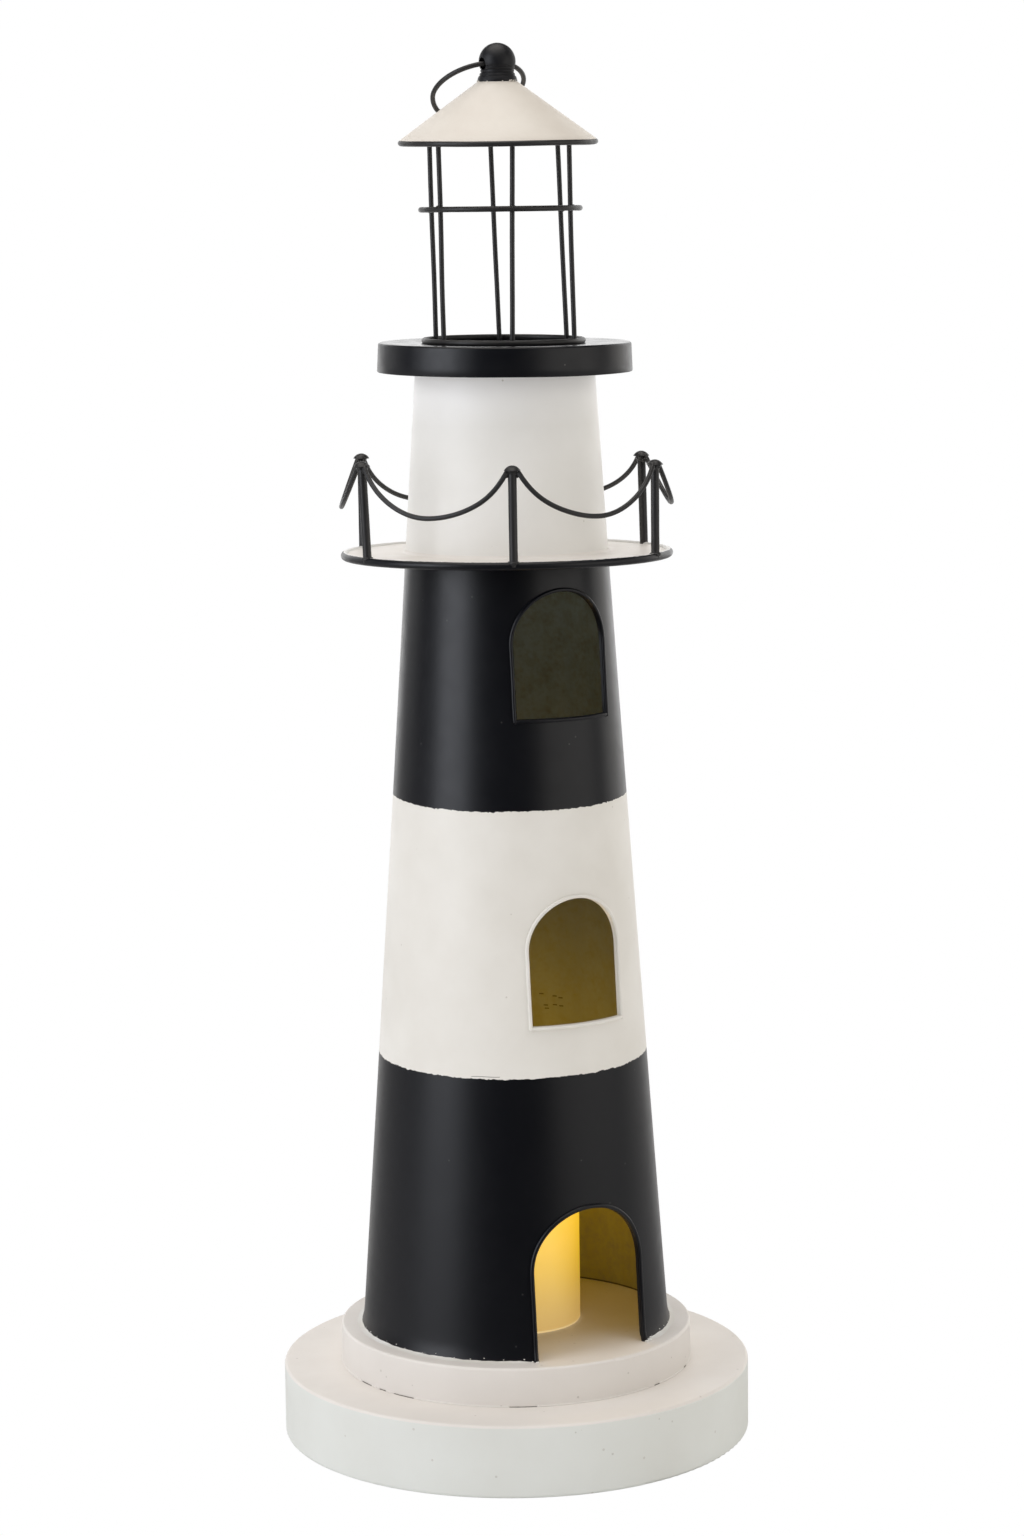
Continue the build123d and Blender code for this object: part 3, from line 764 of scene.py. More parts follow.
TOWER_PAINT = tower_paint()
TOWER_INSIDE = tower_inside()
BLACK_TRIM = black_paint("black_trim", (0.30, 0.40))
BLACK_WIRE = black_paint("black_wire", (0.38, 0.48), grain=700.0, tones=WIRE_BLACK)
BLACK_DECK = deck_paint()
BLACK_KNOB = black_paint("black_knob", (0.46, 0.6), 0.08 * MM, 650.0)
CREAM_WIRE = pale_paint("cream_wire", CREAM)
FILLER = pale_paint("white_filler", FILLER_WHITE, (0.6, 0.8), 0.15 * MM, 0.12)
RIM_PAINT = gallery_rim_paint()
PLATE_PAINT = gallery_plate_paint()
ROOF_PAINT = roof_paint()
BASE_PAINT = base_paint()
JOINT_CRACK = moulded("joint_crack", (0.17, 0.15, 0.13), (0.8, 0.9))
CANDLE_WAX = candle_wax()
STEEL = plated_steel("screw_steel", (0.55, 0.545, 0.53))
CONTACT = plated_steel("contact_steel", (0.68, 0.66, 0.6))
TRAY = moulded("tray_plastic", (0.02, 0.02, 0.021))
CELL_SLEEVE = cell_sleeve()


# Tower


def arch_of(name, has_sill, slack=0.0):
    """The opening inside a trim wire: half width, lowest edge, spring of the arch."""
    lowest, highest = box(name)
    wire = TRIM_WIRE[name]
    half = highest.x - wire
    foot = lowest.z + (wire if has_sill else 0.0)
    return {"half": half + slack, "low": foot, "spring": highest.z - wire - half,
            "wire": wire, "sill": has_sill}


ARCHES = {
    "door_frame": arch_of("door_frame", False),
    "lower_window_frame": arch_of("lower_window_frame", True, 0.55 * MM),
    "upper_window_frame": arch_of("upper_window_frame", True),
}


def arch_outline(arch, margin=0.0, step=1.2 * MM):
    """(x, z) points up the left side, round the head and down the right side."""
    half = arch["half"] + margin
    rise = arch["spring"] - arch["low"]
    steps = max(2, round(rise / step))
    left = [(-half, arch["low"] + rise * i / steps) for i in range(steps)]
    count = round(math.pi * half / step)
    head = [(-half * math.cos(math.pi * i / count), arch["spring"] + half * math.sin(math.pi * i / count))
            for i in range(count + 1)]
    right = [(-x, z) for x, z in reversed(left)]
    return left + head + right


def inside_arch(arch, x, z, margin):
    half = arch["half"] + margin
    if z < arch["spring"]:
        return abs(x) < half and z > arch["low"] - (margin if arch["sill"] else 1.0)
    return math.hypot(x, z - arch["spring"]) < half


# The lap seam at the back: radians lapped, where its step begins and ends, and the step's height
LAP = 0.10
SEAM_STEP = (math.pi - 0.09, math.pi - 0.01)
SEAM_RISE = 1.1 * SHEET
# The sheet ends under the deck's lid. It strays from a true cone: flared at the foot, drawn in at the middle
# and a little out of round.
SHEET_TOP = TOP_Z - 1.2 * MM
FOOT_FLARE = 0.7 * MM
FLARE_HEIGHT = 4.0 * MM
WAIST = 0.35 * MM
OUT_OF_ROUND = 0.08 * MM
# Dents: angle in degrees, height, half width, depth
DENTS = [(-62.0, 104.0 * MM, 7.0 * MM, 0.05 * MM), (-48.0, 97.0 * MM, 5.0 * MM, 0.04 * MM),
         (-80.0, 196.0 * MM, 9.0 * MM, 0.08 * MM), (95.0, 120.0 * MM, 8.0 * MM, 0.10 * MM),
         (160.0, 280.0 * MM, 7.0 * MM, 0.10 * MM)]


def sheet_radius(angle, z):
    """The rolled sheet's outer radius, with its lap seam, slight waist, dents and flared foot."""
    up = (z - FOOT_Z) / (TOP_Z - FOOT_Z)
    radius = tower_r(z) - WAIST * 4.0 * up * (1.0 - up)
    radius += SEAM_RISE * smooth_step(*SEAM_STEP, angle)
    radius += FOOT_FLARE * smooth_step(FOOT_Z + FLARE_HEIGHT, FOOT_Z, z)
    radius += OUT_OF_ROUND * rough(polar(angle, 0.06, z), 0.07, 3.0)
    for turn, height, width, depth in DENTS:
        aside = (angle - math.radians(turn)) * tower_r(height)
        radius -= depth * math.exp(-(aside**2 + (z - height) ** 2) / width**2)
    return radius


def in_opening(angle, z, margin=0.0):
    """True where the door or a window is cut out of the tower's front."""
    x = tower_r(z) * math.sin(angle)
    return math.cos(angle) > 0.0 and any(inside_arch(arch, x, z, margin) for arch in ARCHES.values())


def tower_sheet():
    """Points and triangles of the unrolled sheet with its three arched openings cut out."""
    columns = 188
    rows = 126
    scale = tower_r((FOOT_Z + TOP_Z) / 2)
    points = []
    for row in range(rows + 1):
        z = FOOT_Z + (SHEET_TOP - FOOT_Z) * row / rows
        for column in range(columns + 1):
            angle = -math.pi + (2.0 * math.pi + LAP) * column / columns
            if not in_opening(angle, z, margin=0.9 * MM):
                points.append(Vector((angle * scale, z)))
    edges = []
    for arch in ARCHES.values():
        outline = arch_outline(arch)
        start = len(points)
        points.extend(Vector((math.asin(x / tower_r(z)) * scale, z)) for x, z in outline)
        edges.extend((start + i, start + i + 1) for i in range(len(outline) - 1))
        if arch["sill"]:
            half = arch["half"]
            steps = round(2.0 * half / (1.5 * MM))
            sill = [half - 2.0 * half * i / steps for i in range(1, steps)]
            first = len(points)
            points.extend(Vector((math.asin(x / tower_r(arch["low"])) * scale, arch["low"])) for x in sill)
            chain = [start + len(outline) - 1, *range(first, len(points)), start]
            edges.extend(zip(chain, chain[1:]))
    places, _, faces, _, _, _ = geometry.delaunay_2d_cdt(points, edges, [], 0, 1e-6)
    flat = [(p.x / scale, p.y) for p in places]
    kept = []
    for face in faces:
        angle = sum(flat[i][0] for i in face) / 3.0
        z = sum(flat[i][1] for i in face) / 3.0
        if not in_opening(angle, z):
            kept.append(tuple(face))
    return flat, kept


def build_tower():
    """The rolled sheet, painted outside and primed inside."""
    flat, faces = tower_sheet()
    count = len(flat)
    outer = [polar(a, sheet_radius(a, z), z) for a, z in flat]
    inner = [polar(a, sheet_radius(a, z) - SHEET, z) for a, z in flat]
    inside = [[i + count for i in reversed(face)] for face in faces]
    edges = {edge for face in faces for edge in zip(face, face[1:] + face[:1])}
    rim = [(b, a, a + count, b + count) for a, b in sorted(edges) if (b, a) not in edges]
    shape = Shape()
    shape.add(outer + inner, faces + inside + rim)
    shape.marks[len(faces):2 * len(faces)] = [1] * len(inside)
    shape.piece("tower", [TOWER_PAINT, TOWER_INSIDE], "tower_paint", ["tower_shell"], sharp=50.0)


def beside_tower(angle, outset, z):
    """A point off the tower's sheet, at any angle round it."""
    turn = angle if angle <= math.pi else angle - 2.0 * math.pi
    return polar(angle, sheet_radius(turn, z) + outset, z)


def on_tower(x, z, outset):
    """A point off the tower's front, by its place across it."""
    return beside_tower(math.asin(x / tower_r(z)), outset, z)


# A trim's radius as a share of its wire, and how far it stands off the tower as a share of its radius
TRIM_SHARE = 0.43
TRIM_OUTSET = 0.45
TRIM_SWAY = 0.12 * MM


def build_trim(name, material, slot):
    """A round wire bent to the opening's outline and laid on the tower."""
    arch = ARCHES[name]
    r = TRIM_SHARE * arch["wire"]
    outset = TRIM_OUTSET * r
    path = []
    for x, z in arch_outline(arch, margin=r, step=0.9 * MM):
        sway = TRIM_SWAY * rough((x, 0.0, z), 9.0 * MM, 2.0)
        path.append(on_tower(x + sway, z, outset))
    shape = Shape()
    half = arch["half"]
    if arch["sill"]:
        below = arch["low"] - r
        path = [on_tower(-half - r, below, outset), *path, on_tower(half + r, below, outset)]
        shape.tube(path, r, lumps=WIRE_LUMPS, seed=1.0)
        steps = 26
        sill = [on_tower(half * (2.0 * i / steps - 1.0), below, outset) for i in range(steps + 1)]
        shape.tube(sill, 0.96 * r, lumps=WIRE_LUMPS, seed=4.0)
        for side in (-1, 1):
            corner = on_tower(side * (half + 0.8 * r), below, outset)
            shape.bead(corner, (1.15 * r, 1.15 * r, 1.2 * r), 5.0 + side)
    else:
        shape.tube(path, r, lumps=WIRE_LUMPS, seed=1.0)
        for side in (-1, 1):
            foot = on_tower(side * (half + r), FOOT_Z + 0.4 * r, outset)
            shape.bead(foot, (1.2 * r, 1.2 * r, 0.6 * r), 8.0 + side)
    shape.piece(name.replace("frame", "trim"), material, slot, [name])


# White bits by the door's two feet: distance out from the opening, height, half size
DOOR_BITS = {
    -1: [(0.6 * MM, 0.1 * MM, 0.7 * MM), (2.2 * MM, 0.3 * MM, 0.5 * MM)],
    1: [(0.5 * MM, 0.2 * MM, 0.8 * MM), (2.1 * MM, 0.2 * MM, 1.1 * MM), (3.3 * MM, 0.9 * MM, 0.6 * MM)],
}
FLECK_COUNT = 48
# Radians left bare between the door's trim and the filler
FILLER_GAP = 0.015
# The smear's width and height: mean, how much it varies slowly and quickly round the foot, least
SMEAR_WIDTH = (1.9 * MM, 1.0 * MM, 0.4 * MM, 0.35 * MM)
SMEAR_HEIGHT = (0.42 * MM, 0.3 * MM, 0.25 * MM, 0.14 * MM)


def smeared(setting, around, slow, quick, seed):
    """The smear's width or height at one place; slow and quick are the sizes of its bumps."""
    mean, slow_part, quick_part, least = setting
    uneven = slow_part * rough(around, slow, seed) + quick_part * rough(around, quick, seed + 1.0)
    return max(mean + uneven, least)


def build_filler():
    """An uneven smear of filler round the tower's foot, open across the doorway."""
    door_edge = math.asin((ARCHES["door_frame"]["half"] + TRIM_WIRE["door_frame"]) / FOOT_R)
    start = door_edge + FILLER_GAP
    sweep = 2.0 * math.pi - 2.0 * start
    steps = 420
    sections = 7
    verts = []
    for i in range(steps + 1):
        angle = start + sweep * i / steps
        around = polar(angle, 1.0, 0.0)
        thinned = 0.3 + 0.7 * smooth_step(0.0, 6.0, i) * smooth_step(0.0, 6.0, steps - i)
        width = thinned * smeared(SMEAR_WIDTH, around, 0.3, 0.08, 1.0)
        height = thinned * smeared(SMEAR_HEIGHT, around, 0.2, 0.05, 5.0)
        verts.append(beside_tower(angle, -0.4 * MM, STEP_TOP))
        for j in reversed(range(sections)):
            t = j / (sections - 1)
            verts.append(beside_tower(angle, width * (1.0 - t) ** 1.4, STEP_TOP + height * t**1.2))
    shape = Shape()
    shape.skin(verts, sections + 1)
    for k in range(FLECK_COUNT):
        angle = start + sweep * (k + 0.5 + 0.4 * rough((k, 0, 0), 1.7, 3.0)) / FLECK_COUNT
        up = (0.9 + 0.8 * rough((k, 0, 0), 0.77, 9.0)) * MM
        size = (0.2 + 0.16 * rough((k, 0, 0), 0.63, 4.0)) * MM
        shape.bead(beside_tower(angle, 0.0, STEP_TOP + up), (size, size, 0.8 * size), k, 0.4)
    for side, bits in DOOR_BITS.items():
        for across, up, size in bits:
            spot = on_tower(side * (ARCHES["door_frame"]["half"] + across), STEP_TOP + up, 1.1 * MM)
            shape.bead(spot, (size, size, 0.6 * size), side + across / MM, 0.4)
    shape.piece("foot_smear", FILLER, "white_filler", ["foot_filler"], sharp=60.0)


# Gallery


def build_gallery():
    """The ring plate, soldered to the tower with a small fillet, and the wire round its edge."""
    fillet = 1.3 * MM
    edge = RIM_R - 0.8 * MM
    under = low("gallery_plate").z
    wall = tower_r(GALLERY_TOP)
    profile = [(edge, under), (edge, GALLERY_TOP)]
    profile += [(RIM_R - (RIM_R - wall - fillet) * t, GALLERY_TOP) for t in (0.25, 0.5, 0.75)]
    profile += arc((wall + fillet, GALLERY_TOP + fillet), fillet, 270.0, 185.0, 6)
    profile += [(wall - 0.7 * MM, GALLERY_TOP + fillet), (wall - 0.7 * MM, under)]
    profile.reverse()
    plate = Shape()

    def buckle(point):
        return point + Vector((0, 0, 0.18 * MM * rough(point, 0.035, 2.0)))

    plate.lathe(profile, buckle, closed=True)
    plate.piece("gallery_floor", PLATE_PAINT, "gallery_paint", ["gallery_plate"], sharp=50.0)
    rim = Shape()
    rim.tube(circle(RIM_R, RIM_Z, 260, 0.12 * MM, 3.0), RIM_WIRE / 2, closed=True, lumps=0.01)
    rim.piece("gallery_edge", RIM_PAINT, "black_wire", ["gallery_rim"])


# Hand-set rail. Posts: degrees along the rim from the even place, lean of the top to the viewer's right, drop
# of the top. Swags: rise of the lowest point, bulge out past the rim.
POST_SET = [(0.0, -0.2 * MM, 0.6 * MM), (1.6, 0.0, 0.8 * MM), (-2.2, -0.9 * MM, 0.4 * MM),
            (0.0, 0.0, 0.4 * MM), (2.2, -0.2 * MM, 0.0), (0.7, -1.6 * MM, 0.0)]
SWAG_SET = [(-0.15 * MM, 0.0), (1.2 * MM, 0.9 * MM), (2.0 * MM, 0.0), (0.6 * MM, 0.0),
            (1.2 * MM, 0.9 * MM), (-0.25 * MM, 0.0)]
POST_WIRE = 3.2 * MM
CAP_HEIGHT = 1.9 * MM
# Paint thickens the caps, the cage's rings, the roof's rim and the carrying ring by these shares
CAP_COAT = 1.04
CAGE_RING_COAT = 1.15
ROOF_RIM_COAT = 1.1
CARRY_RING_COAT = 1.04
SWAG_WIRE = 2.0 * MM
SWAG_R = 0.46 * SWAG_WIRE
# A swag hangs from a point over the cap on the post's middle line and stops short of it. SWAG_STEEP is how
# steeply it leaves each post.
SWAG_RISE = 1.4 * MM
SWAG_STOP = 0.95
SWAG_STEEP = [0.39, 0.17, 0.2, 0.2, 0.2, 0.2]
# Where a swag is welded to a post: out from the post's middle line, and below its cap
SWAG_JOINT = (1.9 * MM, 1.5 * MM)
# Posts at the rear are welded lower on the rim
REAR_POSTS = (2, 3, 4)
FRONT_WELD_RISE = 1.1 * MM


def lump(across, height):
    """A weld's half sizes, given in millimetres."""
    return across * MM, across * MM, height * MM


CAP_WELD = lump(2.1, 1.3)
SWAG_WELD = lump(1.05, 1.15)
FOOT_WELD = lump(2.2, 1.0)
MID_RING_WELD = lump(1.1, 1.15)
BOTTOM_RING_WELD = lump(1.2, 0.9)


def post_point(number, z):
    """A point on a post's middle line at a height."""
    slip, lean, _ = POST_SET[number]
    share = (z - RIM_Z) / (high(POSTS[number]).z - RIM_Z)
    return polar(angle_of(POSTS[number]) + math.radians(slip), RIM_R, z) + RIGHT_WAY * (lean * share)


def post_top(number):
    return post_point(number, high(POSTS[number]).z - POST_SET[number][2])


def build_post(number):
    """A rod with a domed cap, welded to the rim at its foot and to the swags under its cap."""
    name = POSTS[number]
    seed = number + 1.0
    lowest, highest = box(name)
    crown = post_top(number)
    cap_r = CAP_COAT * (highest.x - lowest.x) / 2
    under = crown.z - CAP_HEIGHT
    shape = Shape()
    steps = 24
    rod = []
    for i in range(steps + 1):
        z = RIM_Z + (under + 0.5 * MM - RIM_Z) * i / steps
        drift = 0.15 * MM * rough((seed, 0.0, z), 30.0 * MM, seed)
        rod.append(post_point(number, z) + Vector((drift, drift, 0.0)))
    shape.tube(rod, POST_WIRE / 2, lumps=0.02, seed=seed)
    dome_r = (cap_r**2 + CAP_HEIGHT**2) / (2.0 * CAP_HEIGHT)
    spread = math.asin(min(1.0, cap_r / dome_r))
    profile = [(0.0, under - 0.15 * MM), (0.8 * cap_r, under - 0.15 * MM), (0.97 * cap_r, under - 0.05 * MM)]
    profile += [(dome_r * math.sin(spread * t), crown.z - dome_r * (1.0 - math.cos(spread * t)))
                for t in (1.0, 0.88, 0.75, 0.62, 0.48, 0.34, 0.2, 0.08)]
    profile += [(0.0, crown.z)]

    def place(point):
        wobble = 1.0 + 0.06 * rough(point, 3.0 * MM, seed)
        return Vector((crown.x + point.x * wobble, crown.y + point.y * wobble, point.z))

    shape.lathe(profile, place, 40)
    shape.bead((crown.x, crown.y, under - 0.5 * MM), CAP_WELD, seed + 20.0)
    along = Vector((-crown.y, crown.x, 0.0)).normalized()
    out, down = SWAG_JOINT
    for side in (-1.0, 1.0):
        joint = crown + along * (side * out)
        shape.bead((joint.x, joint.y, under - down), SWAG_WELD, seed + 30.0 + side)
    rise = 0.0 if number in REAR_POSTS else FRONT_WELD_RISE
    shape.bead(post_point(number, RIM_Z + rise), FOOT_WELD, seed + 40.0)
    shape.piece(name.replace("gallery", "rail"), BLACK_WIRE, "black_wire", [name])


def build_swag(number):
    """A hanging wire between two posts, from just under one cap to the next."""
    name = SWAGS[number]
    seed = number + 1.5
    lift, bulge = SWAG_SET[number]
    following = (number + 1) % len(POSTS)
    first = post_top(number) + Vector((0, 0, SWAG_RISE))
    last = post_top(following) + Vector((0, 0, SWAG_RISE))
    centre = (first + last) / 2
    lowest = Vector((centre.x, centre.y, 0.0)).normalized() * (RIM_R + bulge)
    lowest.z = low(name).z + SWAG_WIRE / 2 + lift
    points = []
    steps = 48
    for i in range(steps + 1):
        t = SWAG_STOP * (2.0 * i / steps - 1.0)
        steep = SWAG_STEEP[number if t < 0 else following]
        fall = 1.0 - (1.0 - steep) * t**2 - steep * t**8
        point = centre + (last - first) * (t / 2.0) + (lowest - centre) * fall
        stray = 0.25 * MM * math.cos(math.pi * t / 2.0) * rough(point, 25.0 * MM, seed)
        points.append(point + Vector((0, 0, stray)))
    shape = Shape()
    shape.tube(points, SWAG_R, lumps=WIRE_LUMPS, seed=seed)
    shape.piece(name.replace("gallery", "rail"), BLACK_WIRE, "black_wire", [name])


# Deck and lantern


def build_deck():
    """The pressed lid with its rolled edge and turned-in lip."""
    lowest, highest = box("deck_pan")
    lip = lowest.z + 0.75 * MM
    low_r = highest.x + 0.1 * MM
    edge = 1.0 * MM
    draft = 0.45 * MM
    face_r = low_r - draft
    profile = [(face_r - SHEET - 0.4 * MM, highest.z - SHEET), (low_r - SHEET, lip + 0.2 * MM)]
    profile += [(low_r - 0.6 * SHEET, lip), (low_r - 0.2 * SHEET, lip), (low_r, lip + 0.3 * MM)]
    profile += [(low_r - draft * t, lip + (highest.z - lip - edge) * t) for t in (0.33, 0.66, 1.0)]
    profile += arc((face_r - edge, highest.z - edge), edge, 8.0, 90.0, 7)
    profile += [(face_r * t, highest.z) for t in (0.9, 0.7, 0.45, 0.2)]
    profile += [(0.0, highest.z)]
    under = [(0.0, highest.z - SHEET), (TOP_R, highest.z - SHEET)]

    def pressed(point):
        return on_deck(point + Vector((0, 0, 0.12 * MM * rough(point, 0.03, 6.0))))

    shape = Shape()
    shape.lathe(under + profile, pressed, 220)
    shape.piece("lantern_deck", BLACK_DECK, "black_sheet", ["deck_pan"], sharp=50.0)


UPRIGHT_WIRE = 1.85 * MM
# The share of its line at which an upright ends, just under the roof
UPRIGHT_STOP = 0.975
# The cage is wound a little: its uprights stand this far round, in degrees, at their feet. Each one's foot
# and head are also off to the viewer's right by a little.
UPRIGHT_TWIST = -3.9
UPRIGHT_SET = [(0.3 * MM, 1.1 * MM), (0.7 * MM, 0.15 * MM), (0.8 * MM, 0.65 * MM), (0.6 * MM, 1.05 * MM),
               (-0.7 * MM, -0.1 * MM), (0.1 * MM, -0.45 * MM)]
# The bottom ring lies a little to the viewer's left
BOTTOM_RING_SLIDE = -0.4 * MM


def ring_of(name, seed, wave, place):
    """A hand-bent wire ring in a node's place."""
    lowest, highest = box(name)
    r = (highest.z - lowest.z) / 2
    shape = Shape()
    points = [place(point) for point in circle(highest.x - r + 0.25 * MM, lowest.z + r, 240, wave, seed)]
    shape.tube(points, CAGE_RING_COAT * r, closed=True, lumps=WIRE_LUMPS, seed=seed)
    return shape


def build_lantern():
    """Six uprights between deck and roof, and two rings welded to them."""
    mid_z = middle("lantern_mid_ring").z

    def by_deck(point):
        return on_deck(point) + RIGHT_WAY * BOTTOM_RING_SLIDE

    def by_uprights(point):
        return tipped(point, mid_z, *CAGE_RING_SEAT)

    bottom = ring_of("lantern_bottom_ring", 2.0, 0.05 * MM, by_deck)
    mid = ring_of("lantern_mid_ring", 7.0, 0.12 * MM, by_uprights)
    for index, name in enumerate(UPRIGHTS):
        lowest, highest = box(name)
        centre = middle(name)
        radius = math.hypot(centre.x, centre.y)
        turn = angle_of(name)
        foot_right, head_right = UPRIGHT_SET[index]
        foot = on_deck(polar(turn + math.radians(UPRIGHT_TWIST), radius, lowest.z)) + RIGHT_WAY * foot_right
        head = on_roof(polar(turn, radius, highest.z - 0.3 * MM)) + RIGHT_WAY * head_right
        steps = 30
        path = []
        for i in range(steps + 1):
            point = foot.lerp(head, UPRIGHT_STOP * i / steps)
            bow = 0.2 * MM * rough((0.0, index, point.z), 40.0 * MM, index + 1.0)
            path.append(point + Vector((bow, -bow, 0.0)))
        shape = Shape()
        shape.tube(path, UPRIGHT_WIRE / 2, sides=12, lumps=WIRE_LUMPS, seed=index)
        shape.piece(name.replace("lantern", "cage"), BLACK_WIRE, "black_wire", [name])
        out = polar(turn, 0.8 * MM, 0.0)
        crossing = foot.lerp(head, (mid_z - foot.z) / (head.z - foot.z)) + out
        mid.bead(crossing, MID_RING_WELD, 11.0 + index)
        bottom.bead(foot + out + Vector((0, 0, 0.8 * MM)), BOTTOM_RING_WELD, 31.0 + index)
    bottom.piece("cage_bottom_ring", BLACK_WIRE, "black_wire", ["lantern_bottom_ring"])
    mid.piece("cage_mid_ring", BLACK_WIRE, "black_wire", ["lantern_mid_ring"])


# Roof and ring

# Cream chips on the knob's foot: degrees from the front, millimetres above the roof's top, size
FOOT_CHIPS = [(38.0, 0.3, 0.34), (44.0, 0.45, 0.3), (52.0, 0.25, 0.34), (61.0, 0.35, 0.26), (-78.0, 0.2, 0.3),
              (-66.0, 0.1, 0.3), (-30.0, 0.1, 0.25), (15.0, 0.1, 0.28), (110.0, 0.4, 0.5), (180.0, 0.3, 0.4)]


def build_roof():
    """The shallow cone with its black edge wire, and chips of its paint on the knob's foot."""
    top_z = high("roof_cone").z
    top_r = high("finial").x
    rim_low, rim_high = box("roof_rim")
    wire = (rim_high.z - rim_low.z) / 2
    rim_r = rim_high.x - wire
    rim_z = rim_low.z + wire + ROOF_RAISE
    drop = 0.95 * MM
    eave_r = rim_r + 0.35 * wire
    eave_z = rim_z + 1.15 * wire
    count = 14
    outer = [(eave_r + (top_r - eave_r) * i / count, eave_z + (top_z - eave_z) * i / count)
             for i in range(count + 1)]
    profile = [(eave_r - 0.5 * MM, eave_z - drop), (eave_r + 0.25 * MM, eave_z - 0.6 * drop)]
    profile += outer + [(0.0, top_z)]
    inside = [(0.0, top_z - drop), (top_r - 0.6 * MM, top_z - drop)]
    inside += [(r - 0.1 * MM, z - drop) for r, z in reversed(outer[:-1])]

    def hand_formed(point):
        turn = math.atan2(point.x, -point.y)
        far = math.hypot(point.x, point.y) / rim_r
        return on_roof(point + Vector((0, 0, 0.2 * MM * far * rough(polar(turn, 1.0, 0.0), 0.7, 4.0))))

    shape = Shape()
    shape.lathe(inside + profile, hand_formed, 200)
    for k, (aside, up, size) in enumerate(FOOT_CHIPS):
        spot = polar(FRONT + math.radians(aside), top_r + 0.15 * MM, top_z + up * MM)
        shape.bead(on_roof(spot), lump(size, 0.8 * size), k, 0.4)
    shape.piece("roof", ROOF_PAINT, "roof_paint", ["roof_cone"], sharp=50.0)
    rim = Shape()
    points = [hand_formed(point) for point in circle(rim_r, rim_z, 240)]
    rim.tube(points, ROOF_RIM_COAT * wire, closed=True, lumps=0.02, seed=9.0)
    rim.piece("roof_edge", BLACK_WIRE, "black_wire", ["roof_rim"])


FINIAL_DOME_R = 6.85 * MM
FINIAL_NECK_R = 6.25 * MM
FINIAL_NECK_DROP = 10.3 * MM
RING_HOLE_R = 2.25 * MM
# Fine turned rings at the finial's neck: first one's drop from the top, pitch, depth, count
NECK_RINGS = (8.2 * MM, 1.15 * MM, 0.24 * MM, 4)


def finial_radius(drop, foot_r, height):
    """The knob's radius at a drop from its top."""
    if drop < FINIAL_DOME_R:
        return math.sqrt(FINIAL_DOME_R**2 - (FINIAL_DOME_R - drop) ** 2)
    if drop < FINIAL_NECK_DROP:
        share = smooth_step(1.05 * FINIAL_DOME_R, FINIAL_NECK_DROP, drop)
        radius = FINIAL_DOME_R - (FINIAL_DOME_R - FINIAL_NECK_R) * share
    else:
        share = smooth_step(FINIAL_NECK_DROP, height - 0.5 * MM, drop)
        radius = FINIAL_NECK_R + (foot_r - FINIAL_NECK_R) * share
    first, pitch, depth, count = NECK_RINGS
    if first < drop < first + count * pitch:
        radius -= depth * max(0.0, math.sin(2.0 * math.pi * (drop - first) / pitch))
    return radius


def bore_across(piece, radius, z):
    """Cuts a hole along X right through a piece of the roof."""
    mesh = bpy.data.meshes.new("bore")
    build = bmesh.new()
    across = Matrix.Translation(on_roof((0.0, 0.0, z))) @ Matrix.Rotation(math.pi / 2, 4, "Y")
    bmesh.ops.create_cone(build, cap_ends=True, segments=40, radius1=radius, radius2=radius,
                          depth=40.0 * MM, matrix=across)
    build.to_mesh(mesh)
    build.free()
    cutter = add_object("bore", mesh)
    cut = piece.modifiers.new("bore", "BOOLEAN")
    cut.operation = "DIFFERENCE"
    cut.solver = "EXACT"
    cut.object = cutter
    bored = bpy.data.meshes.new_from_object(piece.evaluated_get(bpy.context.evaluated_depsgraph_get()))
    piece.modifiers.clear()
    piece.data = bored
    bpy.data.objects.remove(cutter)


def build_finial():
    """The turned knob, bored across for the ring."""
    lowest, highest = box("finial")
    foot_r = highest.x
    height = highest.z - lowest.z
    count = 150
    drops = [height * i / count for i in range(1, count + 1)]
    profile = [(finial_radius(drop, foot_r, height), highest.z - drop) for drop in reversed(drops)]
    dome = [FINIAL_DOME_R * (1.0 - math.cos(math.radians(a))) for a in (2, 5, 9)]
    profile += [(finial_radius(drop, foot_r, height), highest.z - drop) for drop in reversed(dome)]
    shape = Shape()
    shape.lathe([(0.0, lowest.z)] + profile + [(0.0, highest.z)], on_roof, 96)
    knob = shape.piece("finial_knob", BLACK_KNOB, "black_knob", ["finial"], sharp=50.0)
    bore_across(knob, RING_HOLE_R, HINGE_Z + RING_HOLE_RISE)


RING_WIRE_R = 0.9 * MM
# How far the ring's outer end is bent towards the roof it lies on
RING_SAG = 1.88 * MM


